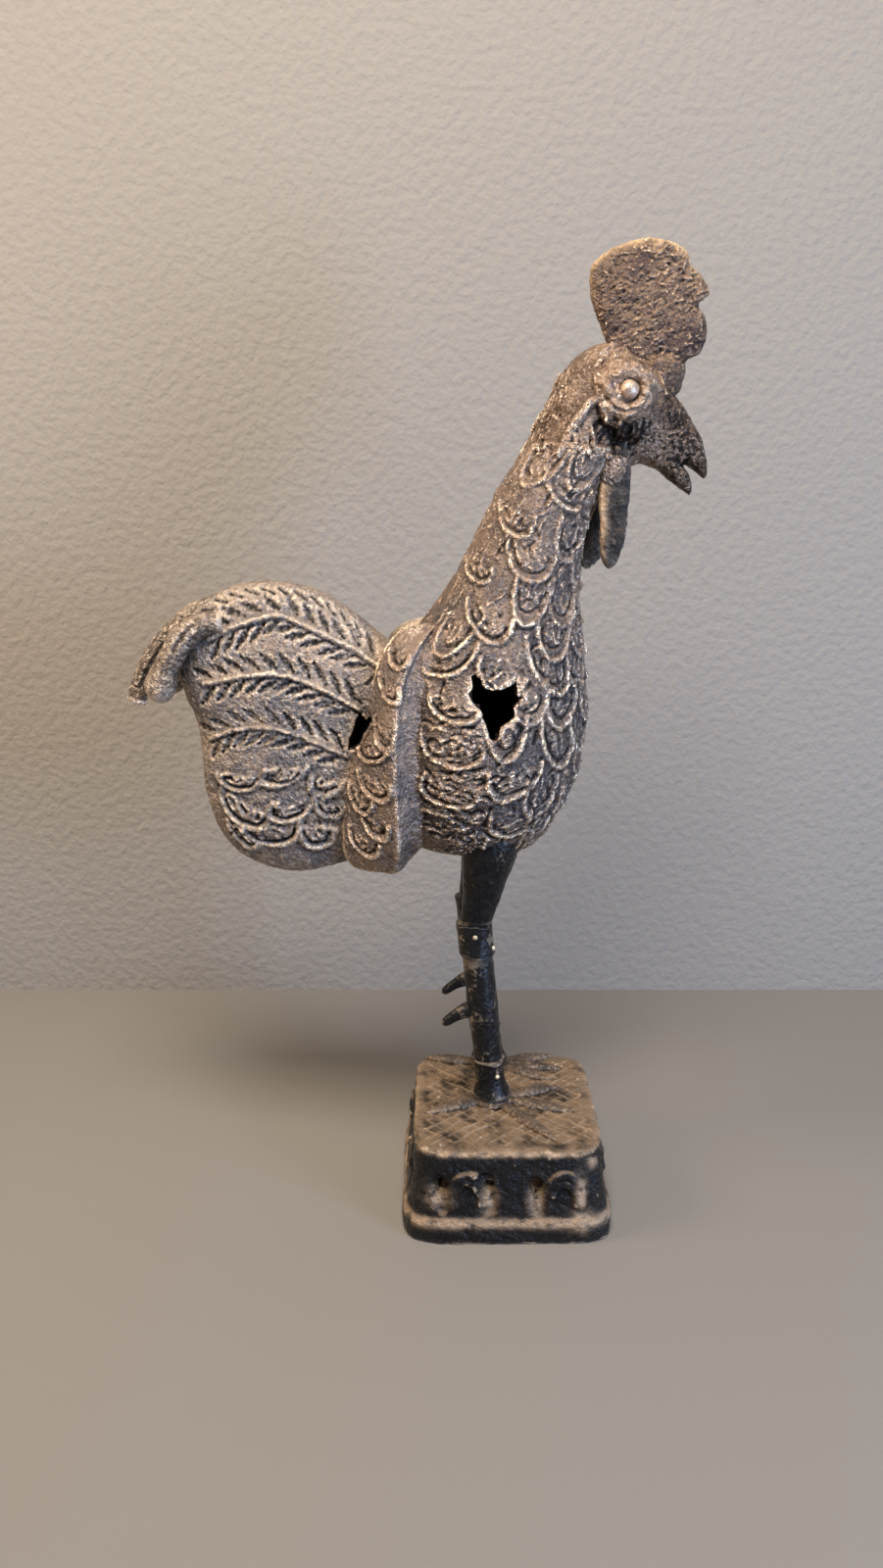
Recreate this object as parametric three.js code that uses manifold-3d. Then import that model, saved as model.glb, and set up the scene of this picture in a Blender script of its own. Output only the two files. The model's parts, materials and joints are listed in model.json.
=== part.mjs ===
// A bronze cockerel on a square plinth, in millimetres, +Z up, the bird facing +X.
// The castings are drawn in the bird's own frame: X from the plinth's middle, Y from the bird's
// middle plane, and heights as rises above the belly. The group is moved at the end, so that its
// origin is under the middle of the whole figure, on the surface that it stands on.
import * as THREE from 'three';
import { mergeVertices } from 'three/addons/utils/BufferGeometryUtils.js';
import Module from 'manifold-3d';

const wasm = await Module();
wasm.setup();

// Fits
const JOINT_GAP = 0.3; // clearance wherever two castings meet

// Plinth
const PLINTH_LENGTH = 61; // across its top, along the bird
const PLINTH_WIDTH = 63.4;
const PLINTH_HEIGHT = 30.5;
const PLINTH_FLARE = 4; // how far its foot stands out past its top, each side
const PLINTH_CORNER = 8;
const PLINTH_WALL = 3.5;
const PLINTH_RIM = 7.5; // height of the bead round its foot
const PLINTH_CROWN = 4.5; // height of the bead round its top
const PLINTH_BEAD = 1.4; // how far the beads stand out from the panel between them
const BIRD_SET_BACK = 12; // the bird stands behind the plinth's middle
const PIERCING_HEIGHT = 18.8; // of their middles over the ground
const PIERCINGS = [[-20.6, 3, 4.6], [-5.8, 2, 2.4], [9.1, 3, 4.6]]; // [X, width, height]

// Legs
const LEG_LENGTH = 86.5; // from the plinth's top to the belly
const LEG_SPACING = 24;
const ANKLE_X = -3.8;
const KNEE_X = -10.1;
const KNEE_DROP = 28; // from the belly down to the middle of the knee sleeve
const KNEE_SLEEVE_HEIGHT = 10.6;
const KNEE_SLEEVE_RADIUS = 5.7;
const KNEE_TENON_RADIUS = 3.6;
const SHANK_TOP_RADIUS = 4.7;
const SHANK_MIDDLE_RADIUS = 5.1;
const SHANK_FOOT_RADIUS = 4.5;
const ANKLE_COLLAR_HEIGHT = 13.5;
const ANKLE_COLLAR_RADIUS = 5.2;
const ANKLE_TENON_RADIUS = 3.2;
const TENON_PEEN = 1.4; // how far the ankle tenon stands through the plinth's top
const HIP_TENON_RADIUS = 4;
const HIP_TENON_REACH = 6;
const PIN_RADIUS = 1.1;
const PIN_PROUD = 0.4;
const ANKLE_PIN_RISE = 11; // above the plinth's top
const ANKLE_PIN_TURN = 22; // degrees from square across
const SPUR_LENGTH = 10.5;
const SPUR_ROOT_RADIUS = 2.9;
const SPUR_TIP_RADIUS = 1.3;
const SPUR_DROOP = 30; // degrees below level
const SPUR_RISE = 33; // above the plinth's top
const SPUR_TENON_RADIUS = 1.2;
const SPUR_TENON_REACH = 2.6;
// The thigh, down from the belly: [rise, middle X, half length, half width]
const THIGH_ROWS = [
  [-22.2, -10.1, 5.2, 5.2],
  [-17.3, -9, 5.6, 5.5],
  [-9, -7.5, 6.9, 6.6],
  [-2.4, -6.4, 8.5, 8],
  [0, -6, 10, 9],
  [8, -6, 10.5, 9],
];

// Feet: each toe has its turn from straight ahead towards the bird's left, in degrees, and its length
const HUB_RADIUS = 6.4;
const HUB_HEIGHT = 2.2;
const TOE_ROOT_WIDTH = 5;
const TOE_TIP_WIDTH = 2.4;
const TOE_HEIGHT = 2.6;
const RIGHT_TOE_TURNS = [19, -17, -53, 201];
const RIGHT_TOE_LENGTHS = [24.5, 28, 32, 25];
const LEFT_TOE_TURNS = [13, -9, -30, 170];
const LEFT_TOE_LENGTHS = [24, 26, 23, 24];

// Head: where its axis starts, as [X, rise], and the degrees that the beak points down
const HEAD_BACK = [17, 145];
const HEAD_DROOP = 37.6;

// Body as level slices: [rise, back X, front X, half width]
const BODY_WALL = 2.6;
const SHOULDER_ROWS = [
  [0, -23, 3, 9],
  [1.3, -29, 7, 15],
  [4, -33, 10.5, 19.5],
  [9, -35.5, 14, 23],
  [17, -37.4, 18.6, 25.8],
  [28, -38.8, 22.6, 27.6],
  [41, -39.5, 24.2, 28],
  [53, -38.5, 24.2, 26.8],
  [64, -35, 23.2, 24.2],
  [74, -26.7, 21.8, 21.6],
];
// Neck, as [share of the rise from the shoulders to the head's axis, back X, front X, half width]
const NECK_TOP = 124; // rise of the joint under the head
const NECK_ROWS = [
  [0.1408, -19, 21.2, 19.2],
  [0.2958, -13, 21.8, 17.2],
  [0.4366, -8.1, 23.8, 15.6],
  [0.5775, -3, 27.4, 14.2],
  [0.6901, 2.5, 30.8, 13.2],
  [0.8028, 6.8, 33, 12.4],
  [0.9014, 10.4, 33, 11.8],
  [1, 14.4, 31, 9.6],
];
const shoulderRise = SHOULDER_ROWS.at(-1)[0];
const BODY_ROWS = [
  ...SHOULDER_ROWS,
  ...NECK_ROWS.map(([share, ...slice]) => [shoulderRise + share * (HEAD_BACK[1] - shoulderRise), ...slice]),
];
// The gap left in the breast where the metal did not run: [X, rise]
const BREAST_HOLE = [
  [-12.4, 60], [-9.3, 59.8], [-7.6, 56.8], [-3.4, 56.4], [1.6, 60], [1.2, 54], [0.2, 49.3],
  [-1.6, 45.6], [-4.4, 43.8], [-5.8, 40.4], [-7.8, 42.4], [-8.8, 47.5], [-10.8, 51], [-12.8, 53],
];

// Feather scales on breast and neck: a raised band in a U each, with a groove inside it. These ones
// are placed by their left corner, tip and right corner, as [X, rise], and the rest fill even rows
const BAND_HEIGHT = 0.75;
const BAND_HALF_WIDTH = 1.1;
const BAND_ROOT = 0.6; // how deep a band is rooted in the skin under it
const GROOVE_DEPTH = 0.8;
const GROOVE_HALF_WIDTH = 1;
const GROOVE_INSIDE = 1.6; // from a scale's edge
const PLACED_SCALES = [
  [[9.7, 117.4], [15.9, 107.2], [22.5, 112.6]], [[-3.6, 109.4], [-0.1, 99.8], [6, 104.5]],
  [[-1.6, 100.2], [4.3, 87], [12.6, 96]], [[-13.2, 93.2], [-10.4, 86.3], [-5.9, 90.1]],
  [[-13.4, 81.5], [-7.6, 69.7], [-0.6, 75.5]], [[-26.7, 64.6], [-20.1, 59.4], [-10.4, 68.8]],
  [[-9.7, 65.5], [-4.9, 54], [3.8, 58.7]], [[4, 71.4], [11.6, 54.6], [16.8, 62.9]],
  [[-24.7, 54.1], [-17.8, 46.4], [-9.8, 51]], [[-26.9, 41.7], [-19.5, 33.1], [-9.1, 37.1]],
  [[-27, 28.1], [-21, 20.5], [-10, 23.9]], [[-6.6, 30.7], [-0.5, 22.6], [9, 34]],
  [[-6.1, 16.7], [0, 9.6], [9.3, 16.7]], [[8.8, 47.7], [13.4, 31.6], [19.2, 39.8]],
];
const SCALE_TOP_ROW = 144; // rise of the highest row
const SCALE_FOOT_ROW = 16; // no row is lower
const SCALE_ROW_STEP = 9.6;
const SCALE_PITCH = 13.5; // along a row
const SCALE_WIDTH = 0.92; // as a share of the pitch
const SCALE_LENGTH = 13.5;
const SCALE_APART = 8.2; // closest that two scales' middles may come
const SCALES_END = 5; // rise under which the belly is bare

// Tail fan: its outline in the middle plane as [X, rise], and its thickness
const TAIL_WALL = 2.6;
const TAIL_MIDDLE = [-70, 40];
const TAIL_HALF_THICKNESS = 14.5;
const TAIL_THIN = 0.3; // share of its thickness that it loses towards the back
const TAIL_FULLNESS = 2.6; // 2 is an ellipse across, and more is boxier
const TAIL_LIP_REACH = 9; // how far the body's lip goes into the tail
const TAIL_OUTLINE = [
  [-31, 60], [-42.6, 71.2], [-52.3, 78.7], [-62, 83.7], [-73.9, 85.6], [-85, 84.2], [-94.5, 79.6],
  [-101, 72], [-103.8, 62], [-102.2, 51.5], [-98.5, 42], [-97.5, 30], [-97, 19], [-93.5, 7],
  [-86.5, -2.2], [-78, -6.6], [-68, -8.6], [-58, -6.8], [-48, -3], [-36, 6], [-28.5, 25], [-27.5, 44],
];
// The crack left between tail and wing: [X, rise]
const TAIL_CRACK = [
  [-49.6, 35], [-49.2, 40], [-47.8, 44.4], [-46, 47.2], [-42.8, 47.6], [-43.6, 43], [-45.8, 38.2],
  [-47, 34.2],
];
// Quills on each side of the tail, as [X, rise] from back to front, with barbs cut on both sides
const QUILLS = [
  [[-92.4, 68.5], [-82.8, 72.9], [-71.2, 75.8], [-63.6, 73.5], [-54.6, 69], [-47, 65.2], [-40.9, 60.7]],
  [[-94.2, 54.8], [-81.8, 57.6], [-71.7, 58.2], [-64.6, 56.7], [-56.4, 53.1], [-46.3, 47.6]],
  [[-93.7, 37.2], [-84.1, 40.9], [-73.6, 41.5], [-65.2, 39.3], [-58.1, 36.3], [-50.5, 33]],
];
const QUILL_STEPS = 6;
const BARB_STEP = 4.9; // along a quill
const BARB_START = 1.9; // from the quill
const BARB_BACK = 4.9; // how far a barb runs back along the quill
const BARB_OUT = 3.6; // and out from it
const BARB_DEPTH = 0.9;
const BARB_HALF_WIDTH = 1.1;
const TAIL_SCALES = [
  [[-91.5, 26.5], [-84.5, 21.2], [-77.5, 26]], [[-76, 28.5], [-73.3, 23], [-62.6, 29.2]],
  [[-61.5, 26], [-59.5, 20.2], [-51.5, 24.5]], [[-90.5, 21.5], [-84.6, 9.8], [-75.3, 13.2]],
  [[-74.6, 17.5], [-72.2, 11.2], [-61.8, 16.6]], [[-60.9, 18.8], [-57.3, 13], [-52, 15.9]],
  [[-84.5, 9], [-73.8, 2.7], [-66.5, 11.1]], [[-66, 10.4], [-61.8, 2.1], [-54.4, 8.4]],
];

// Sickle feathers, as [X, rise, half width, half thickness] from root to tip
const MIDDLE_SICKLE_ROWS = [
  [-88, 77.5, 4.8, 2.7], [-95, 75.6, 4.8, 2.7], [-101.5, 71.6, 4.6, 2.7], [-108, 65.6, 4.2, 2.7],
  [-113.4, 58.4, 3.5, 2.6], [-117, 51, 2.9, 2.4], [-118.6, 46.5, 2.6, 2.2],
];
const SIDE_SICKLE_OUT = 8; // from the middle plane
const SIDE_SICKLE_ROWS = [
  [-90, 73, 3.6, 3.6], [-96, 71.6, 4.1, 4.1], [-101, 67.4, 4.3, 4.3], [-104.8, 61.4, 4.4, 4.4],
  [-107.2, 56, 4.9, 4.9], [-108.6, 52.2, 4.8, 4.8], [-109.6, 49.4, 2.9, 2.9],
];
const SICKLE_TENON_RADIUS = 1.3;
const SICKLE_TENON_REACH = 3.4;

// Wings, as level slices: [rise, ridge X, crease X, half width at the ridge]
const WING_VALLEY = 7.5; // how far ahead of its ridge a wing dies into the breast
const WING_CREASE_OUT = 12; // from the middle plane, where a wing meets the tail
const WING_PEG_RADIUS = 1.8;
const WING_PEG_RISE = 30;
const WING_ROWS = [
  [-6.4, -38.8, -45, 13.5],
  [-4, -36.4, -49, 17],
  [0, -34.9, -51.4, 20.3],
  [7, -34.1, -52, 23],
  [16, -34.2, -51.7, 24.6],
  [28, -34.7, -50.6, 25.2],
  [40, -34.5, -47.4, 24.8],
  [52, -33.6, -43, 23.4],
  [60, -31.6, -40.4, 21],
  [68, -27.4, -36.4, 17.2],
  [74, -22.6, -29.6, 13],
];

// Head, sliced square to its axis: [distance along, low, high, half width]
const HEAD_ROWS = [
  [-2.4, -3.5, 4.5, 3.6],
  [-0.6, -8, 10, 7],
  [3, -12, 13.6, 9.8],
  [9, -14.2, 15.6, 11.8],
  [16, -14.2, 16.4, 12],
  [22, -12, 16, 10.6],
  [27.5, -9, 14.8, 8.4],
  [33, -6.2, 13.4, 6.2],
  [38, -4.7, 11.8, 5],
  [43, -4.7, 9.6, 4],
  [47, -4.8, 6.9, 3],
  [49.6, -4.5, 4.2, 1.9],
];
const NECK_SPIGOT_REACH = 8;
// The open beak: a wedge, [distance along, height] in the head's own slices
const BEAK_GAPE = [[43.2, 0.6], [53, 2.2], [53, -2.4]];

// A place that is told from the start of the head's axis: [ahead, above]
const fromHeadBack = ([ahead, above]) => [HEAD_BACK[0] + ahead, HEAD_BACK[1] + above];

// Comb: its outline, from the start of the head's axis
const COMB_THICKNESS = 4.6;
const COMB_TENON_RADIUS = 1.5;
const COMB_TENON_REACH = 5;
const COMB_TENON_GRIP = 8; // how far a tenon goes up into the comb
const COMB_OUTLINE = [
  [11.6, 8], [9, 13], [5.9, 19.5], [4.5, 26.6], [6, 31], [11, 34.7], [16.5, 37], [22.1, 38],
  [28.6, 36.7], [33, 33.8], [33.6, 30.6], [36.4, 27.9], [39.8, 22.8], [37.2, 20.9], [36.6, 19],
  [38.6, 16.8], [39.6, 13.4], [39.2, 9.4], [37.1, 6.1], [33.8, 4.3], [33.2, -0.1], [32.2, -5],
  [27, -5], [19, 1],
].map(fromHeadBack);
const COMB_TENONS = [[15.5, 7], [26, 1]].map(fromHeadBack);

// Eyes
const EYE_AHEAD = 14.5; // of the start of the head's axis
const EYE_BELOW = 4.5; // the start of the head's axis
const [EYE_X, EYE_RISE] = fromHeadBack([EYE_AHEAD, -EYE_BELOW]);
const EYE_RING_RADIUS = 6.8;
const EYE_RING_HOLE = 3.6;
const EYE_RING_PROUD = 2.2;
const EYE_BALL_RADIUS = 3.1;
const EYE_TENON_RADIUS = 1.2;
const EYE_TENON_REACH = 3;

// Wattles: their outline, from the start of the head's axis
const WATTLE_THICKNESS = 3.2;
const WATTLE_OUT = 5.4; // from the middle plane to the middle of a wattle
const WATTLE_SPLAY = 6; // degrees
const WATTLE_TENON_RADIUS = 1.1;
const WATTLE_TENON_REACH = 3;
const WATTLE_TENON_GRIP = 5; // how far a tenon goes down into the wattle
const WATTLE_TENON_AHEAD = 15.4; // of the start of the head's axis
const WATTLE_OUTLINE = [
  [7, -22], [16.4, -22], [16.9, -34], [16.8, -44], [15.6, -51.2], [13.4, -55.5], [10.8, -55.1],
  [9.4, -54], [7.2, -55.6], [5, -54.4], [3, -51], [1, -41],
].map(fromHeadBack);

// How finely round shapes are faceted
const BODY_SIDES = 28;
const HEAD_SIDES = 16;
const LEG_SIDES = 12;
const TAIL_SIDES = 30;
const TAIL_RINGS = 7;
const PEG_SIDES = 8;

const TAU = Math.PI * 2;
const floorRise = -(LEG_LENGTH + PLINTH_HEIGHT);
const plinthTop = -LEG_LENGTH;
const SIDES = [['right', -1], ['left', 1]];

const bronze = new THREE.MeshStandardMaterial({ color: 0x6b5a4b, roughness: 0.5, metalness: 0.9 });
const darkBronze = new THREE.MeshStandardMaterial({ color: 0x2b2725, roughness: 0.45, metalness: 0.9 });
const dustyBronze = new THREE.MeshStandardMaterial({ color: 0x54453a, roughness: 0.65, metalness: 0.8 });
const brass = new THREE.MeshStandardMaterial({ color: 0xb59a6a, roughness: 0.4, metalness: 1 });

const radians = THREE.MathUtils.degToRad;

// A row of a table at any value of its first column, on a smooth curve through the rows.
function rowAt(rows, at) {
  const last = rows.length - 1;
  let i = 0;
  while (i < last - 1 && at > rows[i + 1][0]) i += 1;
  const [before, start, end, after] = [rows[Math.max(i - 1, 0)], rows[i], rows[i + 1],
    rows[Math.min(i + 2, last)]];
  const span = end[0] - start[0];
  const t = THREE.MathUtils.clamp((at - start[0]) / span, 0, 1);
  return start.map((value, column) => {
    const slopeIn = (end[column] - before[column]) / (end[0] - before[0]);
    const slopeOut = (after[column] - value) / (after[0] - start[0]);
    const t2 = t * t;
    const t3 = t2 * t;
    return (2 * t3 - 3 * t2 + 1) * value + (t3 - 2 * t2 + t) * span * slopeIn
      + (3 * t2 - 2 * t3) * end[column] + (t3 - t2) * span * slopeOut;
  });
}

// A closed skin: rings of points, each ring joined to the next, and closed at both ends.
class Skin {
  constructor(rings) {
    this.rings = rings;
    if (this.volume() < 0) this.rings = rings.map((ring) => [...ring].reverse());
  }

  middle(ring) {
    return ring.reduce((sum, p) => sum.add(p), new THREE.Vector3()).divideScalar(ring.length);
  }

  geometry() {
    const sides = this.rings[0].length;
    const points = this.rings.flat();
    const first = points.length;
    points.push(this.middle(this.rings[0]), this.middle(this.rings.at(-1)));
    const index = [];
    for (let j = 0; j < sides; j += 1) {
      const k = (j + 1) % sides;
      for (let i = 0; i < this.rings.length - 1; i += 1) {
        const [a, b, c, d] = [i * sides + j, i * sides + k, (i + 1) * sides + k, (i + 1) * sides + j];
        index.push(a, b, c, a, c, d);
      }
      const end = (this.rings.length - 1) * sides;
      index.push(first, k, j, first + 1, end + j, end + k);
    }
    return new THREE.BufferGeometry().setFromPoints(points).setIndex(index);
  }

  volume() {
    const g = this.geometry();
    const p = g.getAttribute('position');
    const corner = (n) => new THREE.Vector3().fromBufferAttribute(p, g.index.getX(n));
    let sum = 0;
    for (let n = 0; n < g.index.count; n += 3) sum += corner(n).dot(corner(n + 1).cross(corner(n + 2)));
    return sum / 6;
  }

  // The same skin, moved out (or in, if negative) by a distance everywhere.
  grown(by) {
    const last = this.rings.length - 1;
    const middles = this.rings.map((ring) => this.middle(ring));
    const rings = this.rings.map((ring, i) => ring.map((p, j) => {
      const around = ring[(j + 1) % ring.length].clone().sub(ring.at(j - 1));
      const along = this.rings[Math.min(i + 1, last)][j].clone().sub(this.rings[Math.max(i - 1, 0)][j]);
      const moved = p.clone().addScaledVector(around.cross(along).normalize(), by);
      if (i === 0) moved.addScaledVector(middles[0].clone().sub(middles[1]).normalize(), by);
      if (i === last) moved.addScaledVector(middles[last].clone().sub(middles[last - 1]).normalize(), by);
      return moved;
    }));
    return new Skin(rings);
  }

  solid() {
    return solidOf(this.geometry());
  }
}

function solidOf(geometry) {
  const bare = geometry.clone();
  bare.deleteAttribute('normal');
  bare.deleteAttribute('uv');
  const merged = mergeVertices(bare, 1e-4);
  return new wasm.Manifold(new wasm.Mesh({
    numProp: 3,
    vertProperties: merged.getAttribute('position').array,
    triVerts: new Uint32Array(merged.index.array),
  }));
}

// A solid's largest piece, as a named mesh: trimming can leave crumbs beside it.
function casting(name, solid, material) {
  const [largest] = solid.decompose().sort((a, b) => b.volume() - a.volume());
  const { vertProperties, triVerts, numProp } = largest.getMesh();
  const geometry = new THREE.BufferGeometry();
  geometry.setAttribute('position', new THREE.BufferAttribute(new Float32Array(vertProperties), numProp));
  geometry.setIndex(new THREE.BufferAttribute(new Uint32Array(triVerts), 1));
  const mesh = new THREE.Mesh(geometry, material);
  mesh.name = name;
  return mesh;
}

function ellipse(x, y, z, halfLength, halfWidth, sides) {
  return Array.from({ length: sides }, (_, j) => {
    const turn = (j / sides) * TAU;
    return new THREE.Vector3(x + halfLength * Math.cos(turn), y + halfWidth * Math.sin(turn), z);
  });
}

// A round bar between two points, with a radius at each end.
function bar(from, to, fromRadius, toRadius = fromRadius, sides = PEG_SIDES) {
  const along = to.clone().sub(from);
  const shape = new THREE.CylinderGeometry(toRadius, fromRadius, along.length(), sides);
  shape.applyQuaternion(new THREE.Quaternion().setFromUnitVectors(
    new THREE.Vector3(0, 1, 0), along.clone().normalize()));
  shape.translate(...from.clone().add(to).divideScalar(2).toArray());
  return solidOf(shape);
}

// A flat outline in the X and Z plane, as thick as stated and centred on a Y.
function plate(outline, thickness, y, bevel = 0) {
  const curve = new THREE.Shape(outline.map(([x, z]) => new THREE.Vector2(x, z)));
  const shape = new THREE.ExtrudeGeometry(curve, {
    depth: thickness - 2 * bevel,
    bevelEnabled: bevel > 0,
    bevelSize: bevel,
    bevelThickness: bevel,
    bevelOffset: -bevel,
    bevelSegments: 1,
  });
  shape.rotateX(Math.PI / 2);
  shape.translate(0, y + thickness / 2 - bevel, 0);
  return solidOf(shape);
}

// A ridge along places on a skin, each with the way that the skin faces there, running out at both
// ends. With a height below nothing it is a groove's cutter.
function ridge(seats, halfWidth, height, root = BAND_ROOT * Math.sign(height)) {
  const last = seats.length - 1;
  return new Skin(seats.map(({ at, out }, i) => {
    const way = seats[Math.min(i + 1, last)].at.clone().sub(seats[Math.max(i - 1, 0)].at);
    const across = way.cross(out).normalize();
    const crest = i === 0 || i === last ? -height / 4 : height;
    return [
      at.clone().addScaledVector(across, halfWidth).addScaledVector(out, -root),
      at.clone().addScaledVector(out, crest),
      at.clone().addScaledVector(across, -halfWidth).addScaledVector(out, -root),
    ];
  })).solid();
}

// The U of a scale, between its corners and round its tip.
function scaleArc({ middle, across, down }) {
  return [-90, -45, 0, 45, 90].map(radians).map((turn) => (
    middle.clone().addScaledVector(across, Math.sin(turn) / 2)
      .addScaledVector(down, Math.max(Math.cos(turn), 0) ** 0.8)));
}

// The U of the groove inside it, which is shorter at both ends.
function scaleGroove({ middle, across, down }) {
  const share = 1 - (2 * GROOVE_INSIDE) / across.length();
  return [-66, 0, 66].map(radians).map((turn) => (
    middle.clone().addScaledVector(across, (Math.sin(turn) * share) / 2)
      .addScaledVector(down, Math.cos(turn) ** 0.8 * share)));
}

function scaleBetween(left, tip, right) {
  const middle = left.clone().add(right).divideScalar(2);
  return { middle, across: right.clone().sub(left), down: tip.clone().sub(middle) };
}

// A slab of space between two heights, far wider than the figure.
function slab(low, high) {
  const wide = 4 * LEG_LENGTH;
  const shape = new THREE.BoxGeometry(wide, wide, high - low);
  shape.translate(0, 0, (low + high) / 2);
  return solidOf(shape);
}

// Body and neck

function bodySkin(sides) {
  return new Skin(BODY_ROWS.map(([rise, back, front, halfWidth]) => (
    ellipse((back + front) / 2, 0, rise, (front - back) / 2, halfWidth, sides))));
}

// How far the body stands out from the middle plane at a place on it.
function bodyHalfWidthAt(x, rise) {
  const [, back, front, halfWidth] = rowAt(BODY_ROWS, Math.max(rise, BODY_ROWS[0][0]));
  const share = (x - (back + front) / 2) / ((front - back) / 2);
  return halfWidth * Math.sqrt(Math.max(0, 1 - share * share));
}

// A place on the body at a rise and at a turn from straight ahead.
function bodyPoint(rise, turn) {
  const [, back, front, halfWidth] = rowAt(BODY_ROWS, rise);
  return new THREE.Vector3((back + front) / 2 + ((front - back) / 2) * Math.cos(turn),
    halfWidth * Math.sin(turn), rise);
}

// The place on the body that is level with a point, and the way that the skin faces there.
function seatOnBody(point) {
  const [, back, front, halfWidth] = rowAt(BODY_ROWS, point.z);
  const turn = Math.atan2(point.y / halfWidth, (point.x - (back + front) / 2) / ((front - back) / 2));
  const around = bodyPoint(point.z, turn + 0.01).sub(bodyPoint(point.z, turn - 0.01));
  const up = bodyPoint(point.z + 0.5, turn).sub(bodyPoint(point.z - 0.5, turn));
  return { at: bodyPoint(point.z, turn), out: around.cross(up).normalize() };
}

// All scales of breast and neck: the placed ones on both sides, then even rows, whose scales stray a
// little in place and size, as those of a hand do.
function bodyScales() {
  const scales = SIDES.flatMap(([, side]) => PLACED_SCALES.map((corners) => scaleBetween(
    ...corners.map(([x, rise]) => new THREE.Vector3(x, side * bodyHalfWidthAt(x, rise), rise)))));
  let count = 0;
  for (let row = 0; SCALE_TOP_ROW - row * SCALE_ROW_STEP > SCALE_FOOT_ROW; row += 1) {
    const rowRise = SCALE_TOP_ROW - row * SCALE_ROW_STEP;
    const [, back, front, halfWidth] = rowAt(BODY_ROWS, rowRise);
    const around = TAU * Math.sqrt((((front - back) / 2) ** 2 + halfWidth ** 2) / 2);
    const places = Math.max(6, Math.round(around / SCALE_PITCH));
    for (let k = 0; k < places; k += 1) {
      count += 1;
      const rise = rowRise + 0.8 * Math.sin(3.7 * count);
      const turn = (TAU * (k + 0.5 * (row % 2) + 0.1 * Math.sin(2.4 * count))) / places;
      const middle = bodyPoint(rise, turn);
      const down = bodyPoint(rise - 2, turn).sub(middle)
        .setLength(SCALE_LENGTH + Math.sin(5.1 * count));
      const across = bodyPoint(rise, turn + 0.05).sub(middle)
        .setLength((around / places) * (SCALE_WIDTH + 0.06 * Math.sin(1.3 * count)));
      const scale = { middle, across, down };
      if (scaleFits(scale, turn, scales)) scales.push(scale);
    }
  }
  return scales;
}

// Whether a scale lies clear of the wings, the flanks, the nape and the scales placed before it.
function scaleFits({ middle, down }, turn, scales) {
  const { x, y, z: rise } = middle;
  const behind = (x < -24 && rise < 66) || (x < -2 && rise < 42 && Math.abs(y) > 9);
  const fromNape = Math.abs(turn - Math.PI);
  const overJoint = rise > NECK_TOP + 9 && !(fromNape > 2 && fromNape < 2.75);
  const onNape = rise > 66 && x - bodyPoint(rise, Math.PI).x < 3.4;
  const centre = middle.clone().addScaledVector(down, 0.5);
  return !behind && !overJoint && !onNape && scales.every((other) => (
    centre.distanceTo(other.middle.clone().addScaledVector(other.down, 0.5)) > SCALE_APART));
}

// Tail fan

function tailSkin() {
  const outline = new THREE.CatmullRomCurve3(
    TAIL_OUTLINE.map(([x, z]) => new THREE.Vector3(x, 0, z)), true, 'centripetal',
  ).getSpacedPoints(TAIL_SIDES).slice(0, TAIL_SIDES);
  const [middleX, middleRise] = TAIL_MIDDLE;
  const xs = outline.map((p) => p.x);
  const [back, front] = [Math.min(...xs), Math.max(...xs)];
  const rings = Array.from({ length: TAIL_RINGS }, (_, i) => {
    const swing = ((i + 0.5) / TAIL_RINGS - 0.5) * Math.PI;
    const share = Math.cos(swing) ** (2 / TAIL_FULLNESS);
    const out = Math.sign(swing) * Math.abs(Math.sin(swing)) ** (2 / TAIL_FULLNESS);
    return outline.map((p) => {
      const x = middleX + share * (p.x - middleX);
      const thin = 1 - TAIL_THIN * ((front - x) / (front - back));
      return new THREE.Vector3(x, out * TAIL_HALF_THICKNESS * thin, middleRise + share * (p.z - middleRise));
    });
  });
  return new Skin(rings);
}

// Head, in slices square to an axis that droops towards the beak

function headPoint(along, up, y = 0) {
  const [x, rise] = HEAD_BACK;
  const droop = radians(HEAD_DROOP);
  return new THREE.Vector3(x + along * Math.cos(droop) + up * Math.sin(droop), y,
    rise - along * Math.sin(droop) + up * Math.cos(droop));
}

function headSkin() {
  return new Skin(HEAD_ROWS.map(([along, low, high, halfWidth]) => (
    Array.from({ length: HEAD_SIDES }, (_, j) => {
      const turn = (j / HEAD_SIDES) * TAU;
      const up = (low + high) / 2 + ((high - low) / 2) * Math.cos(turn);
      return headPoint(along, up, halfWidth * Math.sin(turn));
    }))));
}

// How far the head stands out from the middle plane at a place on it.
function headHalfWidthAt(x, rise) {
  const droop = radians(HEAD_DROOP);
  const [fromX, fromRise] = [x - HEAD_BACK[0], rise - HEAD_BACK[1]];
  const along = fromX * Math.cos(droop) - fromRise * Math.sin(droop);
  const up = fromX * Math.sin(droop) + fromRise * Math.cos(droop);
  const [, low, high, halfWidth] = rowAt(HEAD_ROWS, along);
  const share = (up - (low + high) / 2) / ((high - low) / 2);
  return halfWidth * Math.sqrt(Math.max(0, 1 - share * share));
}

// A feather or finger along a curve in a plane beside the middle one

function featherSkin(rows, y, sides = 8) {
  return new Skin(rows.map(([x, rise, halfWidth, halfThickness], i) => {
    const [x0, rise0] = rows[Math.max(i - 1, 0)];
    const [x1, rise1] = rows[Math.min(i + 1, rows.length - 1)];
    const across = new THREE.Vector3(-(rise1 - rise0), 0, x1 - x0).normalize();
    return Array.from({ length: sides }, (_, j) => {
      const turn = (j / sides) * TAU;
      return new THREE.Vector3(x, y + halfThickness * Math.sin(turn), rise)
        .addScaledVector(across, halfWidth * Math.cos(turn));
    });
  }));
}

// Wings: a ridge that stands out of the breast and falls back to the tail

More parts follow.
